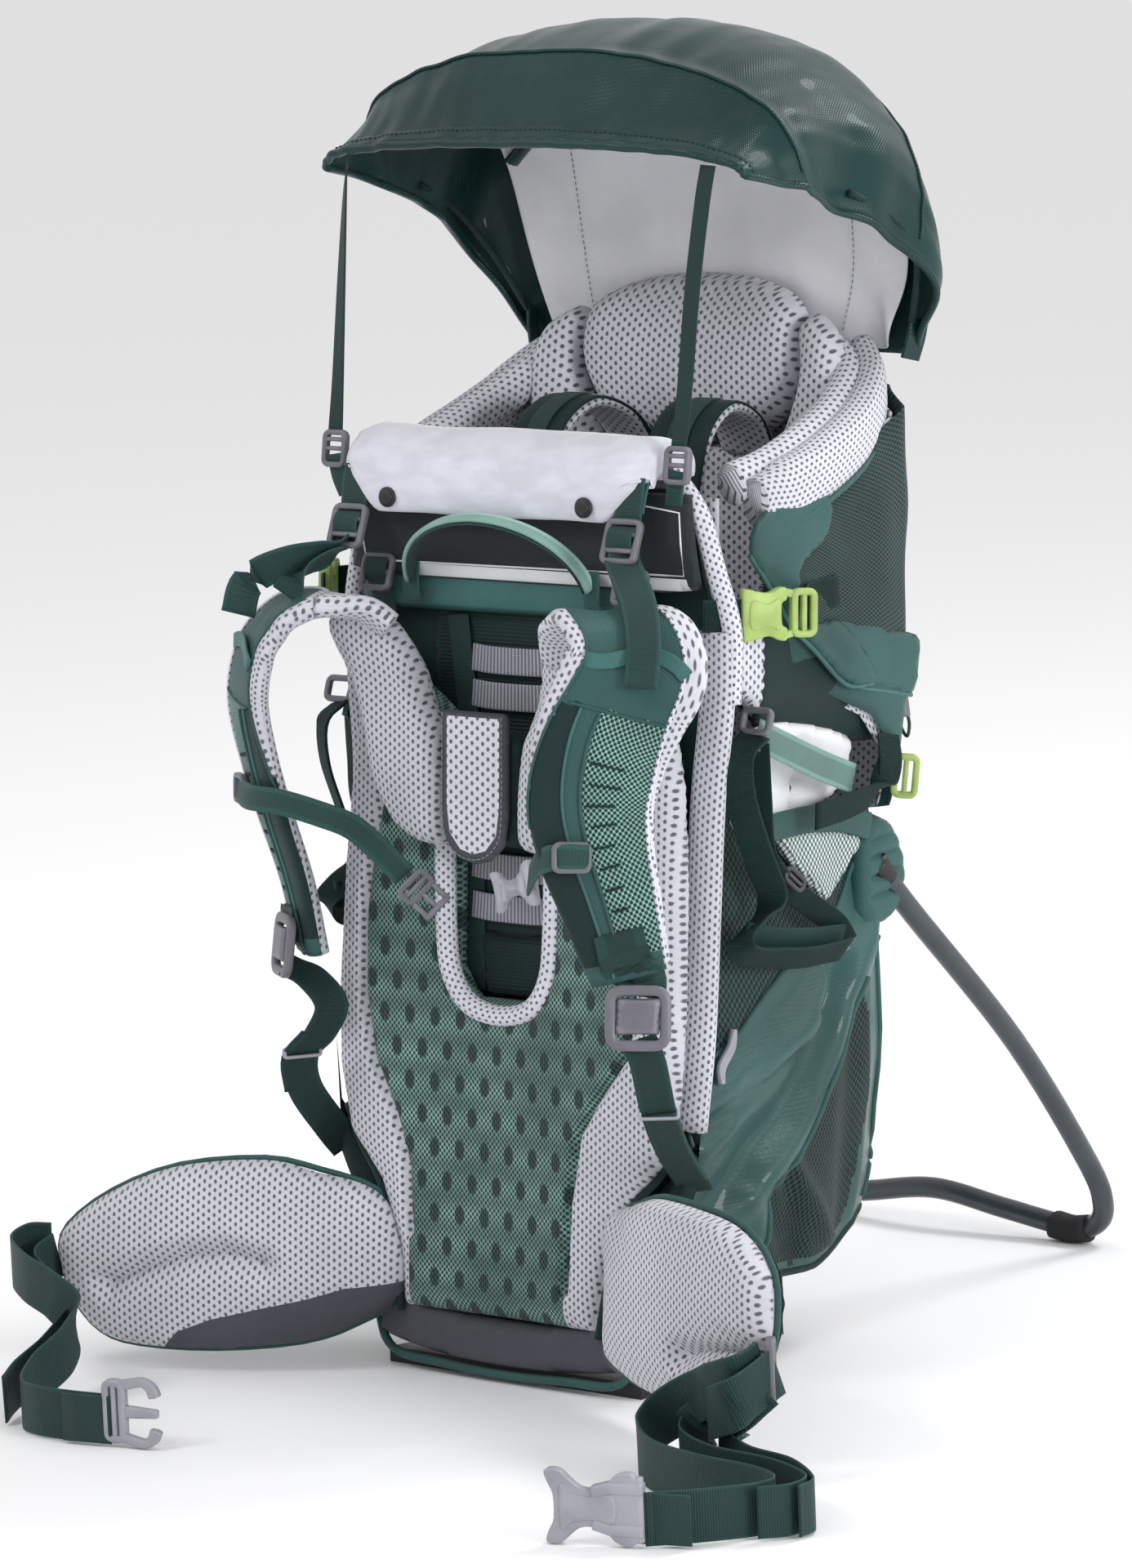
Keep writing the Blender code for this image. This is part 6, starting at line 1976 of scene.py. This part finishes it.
def build_bag_sides():
    for side, s in SIDES:
        def out_point(y, z, out):
            u = 0.5 * (1 - s) + s * bag_share(y)
            low, top = bag_floor_height(y), bag_top_height(y)
            point = bag_point(u, min(1.0, max(0.0, (z - low) / (top - low))))
            return Vector((point.x + s * out, y, z))

        for name, line, radius in (("net", NET_LINE, 0.0022), ("pocket", POCKET_EDGE, 0.0026),
                                   ("rear", REAR_SEAM, 0.0024)):
            seam = [out_point(p.x, p.y, 0.0015) for p in smooth_path([(y, z, 0) for y, z in line], 5)]
            make("bag_%s_seam_%s" % (name, side), sweep(seam, round_section(radius, 8)), "mid", "pack")
        cuff = [out_point(y, z, 0.010) for y,
                z in ((0.083, 0.440), (0.135, 0.443), (0.180, 0.440), (0.221, 0.430))]
        make("upper_pocket_cuff_" + side, sweep(smooth_path(cuff, 8), pad_section(0.022, 0.004), (0, 0.1, 1)),
             "mid", "pack")
        panel = [(0.096, 0.432), (0.150, 0.436), (0.214, 0.424), (0.196, 0.396), (0.164, 0.376),
                 (0.140, 0.388)]
        shape = pad(rounded(panel, 3), 0.006, lambda u, v, out: out_point(u, v, 0.004 + out), 0.006, 0.006,
                    0.1)
        make("upper_pocket_panel_" + side, shape, "net_pale", "pack")
        bulge = [(0.214, 0.352), (0.252, 0.350), (0.271, 0.366), (0.277, 0.388), (0.270, 0.414),
                 (0.251, 0.434), (0.214, 0.434)]
        ruching = [([(0.224, z), (0.268, z + 0.006)], 0.006, 0.005) for z in (0.372, 0.388, 0.403, 0.417)]
        shape = pad(rounded(bulge, 4), 0.018, lambda u, v, out: Vector((s * (0.1640 + out), u, v)), 0.004,
                    0.014, 0.1, ruching)
        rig.padded(make("hinge_cover_" + side, shape, "mid", "pack"), 0.4)
        hook = [out_point(y, z, 0.008) for y,
                z in ((0.016, 0.250), (0.020, 0.262), (0.030, 0.276), (0.034, 0.290))]
        make("lash_hook_" + side,
             sweep(smooth_path(hook, 5), lambda t: pad_section(0.010 * sin(pi * (0.15 + 0.7 * t)),
                                                               0.0050), (0, 1, 0)), "silver_plastic", "pack")


def bag_share(y):
    """Share of the way round the bag's plan at which its right side is at this depth."""
    plan = [y for _, y in BAG_PLAN[:-1]]
    for k in range(len(plan) - 1):
        if y <= plan[k + 1]:
            return max(0.0, k + (y - plan[k]) / (plan[k + 1] - plan[k])) / 14
    return 6 / 14


def build_draw_cord():
    """Elastic loop with a cord lock at the rear right corner of the seat."""
    loop = [(0.170, 0.250, 0.540), (0.180, 0.256, 0.528), (0.186, 0.262, 0.512), (0.182, 0.266, 0.498),
            (0.174, 0.268, 0.506), (0.172, 0.264, 0.524), (0.170, 0.256, 0.538)]
    path = smooth_path(loop, 8)
    cord = make("seat_draw_cord", sweep(path, round_section(0.0014, 8)), "cord", "pack")
    lock = tube([(0.178, 0.258, 0.540), (0.181, 0.2585, 0.528), (0.183, 0.259, 0.514)], 0.0058, 4, 14)
    lock = make("seat_cord_lock", lock, "grey_plastic", "pack")
    world = [tuple(lean(p)) for p in path]
    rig.cord(cord, exit=world[0], length=round(running([Vector(p) for p in world])[-1], 3), diameter=0.0028,
            far_end="object", stiffness="limp", lay="hanging", path=world, with_pieces=[lock])


# ---------------------------------------------------------------- sun roof

def smooth_value(points, v):
    """Catmull-Rom value at v from 0 to 1."""
    points = [Vector(point) for point in points]
    ends = [2 * points[0] - points[1]] + points + [2 * points[-1] - points[-2]]
    place = min(v * (len(points) - 1), len(points) - 1 - 1e-6)
    k = int(place)
    t = place - k
    a, b, c, d = ends[k:k + 4]
    square = (2 * a - 5 * b + 4 * c - d) * t * t
    cube = (3 * b - a - 3 * c + d) * t ** 3
    return 0.5 * (2 * b + (c - a) * t + square + cube)


def roof_base(u, v, inset=0.0):
    """Point of the sun roof: u from left (-1) to right (1), v from the front rim (0) to the rear hem (1)."""
    side = smooth_value(((0.205, 0.012, 0.945), (0.214, 0.075, 0.935), (0.226, 0.150, 0.915),
                         (0.228, 0.225, 0.872), (0.192, 0.272, CANOPY_BASE[1])), v)
    middle = smooth_value(((0, -0.003, 0.967), (0, 0.045, 1.035), (0, 0.156, 1.069), (0, 0.262, 1.015),
                           (0, 0.283, CANOPY_BASE[1])), v)
    angle = abs(u) * pi / 2
    rise = cos(angle) ** 0.75 if abs(u) < 1 else 0.0
    width = sin(angle) ** 0.9 if u else 0.0
    point = side.lerp(middle, rise)
    point.x = side.x * width * (1 if u > 0 else -1)
    centre = Vector((0, 0.15, 0.85))
    return point + (centre - point).normalized() * inset


def roof_point(u, v, inset=0.0):
    """The roof's cloth, with its creases between the bows and slack near the lower corners."""
    point = roof_base(u, v, inset)
    corner = ease(abs(u), 0.55, 0.95)
    slack = 0.004 * corner * ease(v, 0.04,
                                  0.30) * sin(22 * v + 5 * u + 2.0 * noise.noise(Vector((u * 3, v * 4, 0))))
    drape = 0.0030 * noise.noise(Vector((u * 5.0, v * 3.5, 2.0))) + 0.0016 * noise.noise(Vector((u * 15,
                                                                                                 v * 6, 5)))
    seam = -0.0022 * max(0.0, 1 - abs(v - 0.25) / 0.03) * (1 - corner)
    hollow = 0.006 * sin(pi * min(1.0, v / 0.25)) * (1 - ease(abs(u), 0.5, 1.0))
    step = 0.008 * ease(v, 0.25, 0.31) * (1 - ease(v, 0.40, 0.70)) + 0.010 * ease(abs(u), 0.35, 0.7) * ease(
        v, 0.30, 0.45) * (1 - ease(v, 0.62, 0.80))
    centre = Vector((0, 0.15, 0.85))
    return point + (centre - point).normalized() * (slack + drape + seam + hollow + step)


def build_roof():
    us, vs = steps_between(-1, 1, 150), steps_between(0, 1, 90)
    shell = surface(roof_point, us, vs)
    roof = thicken(make("roof_sheet", shell, "roof", "canopy", ["canopy_roof"], closed=False), 0.0012)
    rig.sheet(roof, flat=(0.66, 0.62), held="stretched", rests_on=["canopy_front_bow", "canopy_rear_bow"],
             area=0.33)
    rim = [roof_point(u, 0.0, 0.001) for u in steps_between(-1, 1, 120)]
    make("roof_rim", sweep(rim, round_section(0.0034, 10)), "roof", "canopy")
    band = surface(lambda u, v: roof_point(u, v, -0.0012), steps_between(-0.995, 0.995, 120),
                   steps_between(0.004, 0.05, 3))
    thicken(make("roof_rim_band", band, "roof", "canopy", closed=False), 0.0010)
    thread = [roof_point(u, 0.040, -0.0022) for u in steps_between(-0.99, 0.99, 160)]
    make("roof_rim_stitches", stitches(thread, (0, -1, 0)), "stitch_dark", "canopy")
    for name, v in (("front", 0.25), ("rear", 0.72)):
        seam = [roof_point(u, v, -0.0012) for u in steps_between(-0.97, 0.97, 100)]
        make("roof_seam_" + name, sweep(seam, round_section(0.0014, 8)), "roof", "canopy")
        sleeve = [roof_base(u, v, 0.020 + 0.008 * ease(abs(u), 0.3, 0.7)) for u in steps_between(-0.72, 0.72,
                                                                                                 60)]
        section = pad_section(0.020, 0.0085, 0.8, 14)
        make("bow_sleeve_" + name, sweep(sleeve, section, (0, 1, 0.1)), "roof", "canopy",
             ["canopy_%s_bow" % name])
    for side, s in SIDES:
        edge = [roof_point(s, v, 0.001) for v in steps_between(0, 1, 60)]
        make("roof_side_piping_" + side, sweep(edge, round_section(0.0030, 8)), "roof", "canopy")
    build_roof_lining()
    build_roof_straps()


def build_roof_lining():
    """Pale satin lining inside the rear of the roof, with two sewn lines."""
    def place(share, v):
        u = share * (0.66 + 0.15 * ease(v, 0.50, 0.95))
        ripple = 0.003 * noise.noise(Vector((u * 7, v * 5, 7.0))) + 0.0035 * ease(u, -0.1,
                                                                                  0.5) * sin(34 * v - 16 * u)
        return roof_base(u, v, 0.022 + ripple)

    shell = surface(place, steps_between(-1.0, 1.0, 80), steps_between(0.48, 1.0, 60))
    lining = thicken(make("roof_lining", shell, "lining", "canopy", closed=False), 0.0010)
    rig.sheet(lining, flat=(0.36, 0.36), held="stretched", rests_on=["roof_sheet"])
    for number, u in enumerate((-0.62, 0.60)):
        line = [place(u, v) + Vector((0, -0.0012, 0)) for v in steps_between(0.55, 0.99, 60)]
        make("roof_lining_stitches_%d" % (number + 1), stitches(line, (0, -1, 0)), "stitch", "canopy")
    for side, s in SIDES:
        pole = [roof_base(s * 0.97, v, 0.014) for v in steps_between(0.46, 0.93, 14)]
        make("roof_pole_" + side, sweep(pole, round_section(0.0030, 10)), "dark", "canopy")
        base = roof_base(s, 0.97)
        tab = [base + Vector((-s * 0.004, -0.004, 0.020)), base + Vector((-s * 0.006, -0.006, 0.004)),
               base + Vector((-s * 0.010, -0.008, -0.012))]
        web("roof_corner_tab_" + side, tab, 0.018, (0.3 * s, 1, 0), "canopy", "roof", 0.0030)


def build_roof_straps():
    for side, s in SIDES:
        ring("roof_clip_" + side, (s * 0.1675, -0.0215, 0.726), (1, 0, 0), (0, 0.1, 1), 0.024, 0.030, 0.0066,
             "canopy", "grey_plastic", ["canopy_clip_" + side], bar=0.0046, bars=(0.0, 0.24))
        run = mirrored([(0.168, -0.0210, 0.738), (0.1695, -0.0160, 0.780), (0.1715, -0.0090, 0.860),
                        (0.1745, -0.0010, 0.925), (0.1760, 0.0040, 0.952)], s)
        wide = (1, 0.05, 0) if s > 0 else turning((1, 0.05, 0), (0.52, -0.85, 0), 25)
        web("roof_strap_" + side, run, 0.014, wide, "canopy", "web_dark")
        low = mirrored([(0.1670, -0.0225, 0.722), (0.1640, -0.0205, 0.704), (0.1600, -0.0170, 0.690)], s)
        web("roof_strap_anchor_" + side, low, WEB_NARROW, (1, 0, 0), "pack", "web_thin")


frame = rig.load()
NODES = frame["nodes"]
cad_low, cad_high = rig.bounds()
FINISHES.update(make_materials())
add_camera()
build_hip_cords()
build_draw_cord()
build_frame_looks()
build_back()
build_yoke()
build_shoulder_straps()
build_load_lifters()
build_sternum()
build_hip_wings()
build_chin_pad()
build_front_panel()
build_handle()
build_cockpit()
build_side_straps()
build_bag()
build_roof()
swell_all()
build_stage()
low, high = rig.bounds()
with open("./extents.json", "w") as sizes:
    json.dump({"cad": [list(cad_low), list(cad_high)], "visual": [list(low), list(high)]}, sizes)
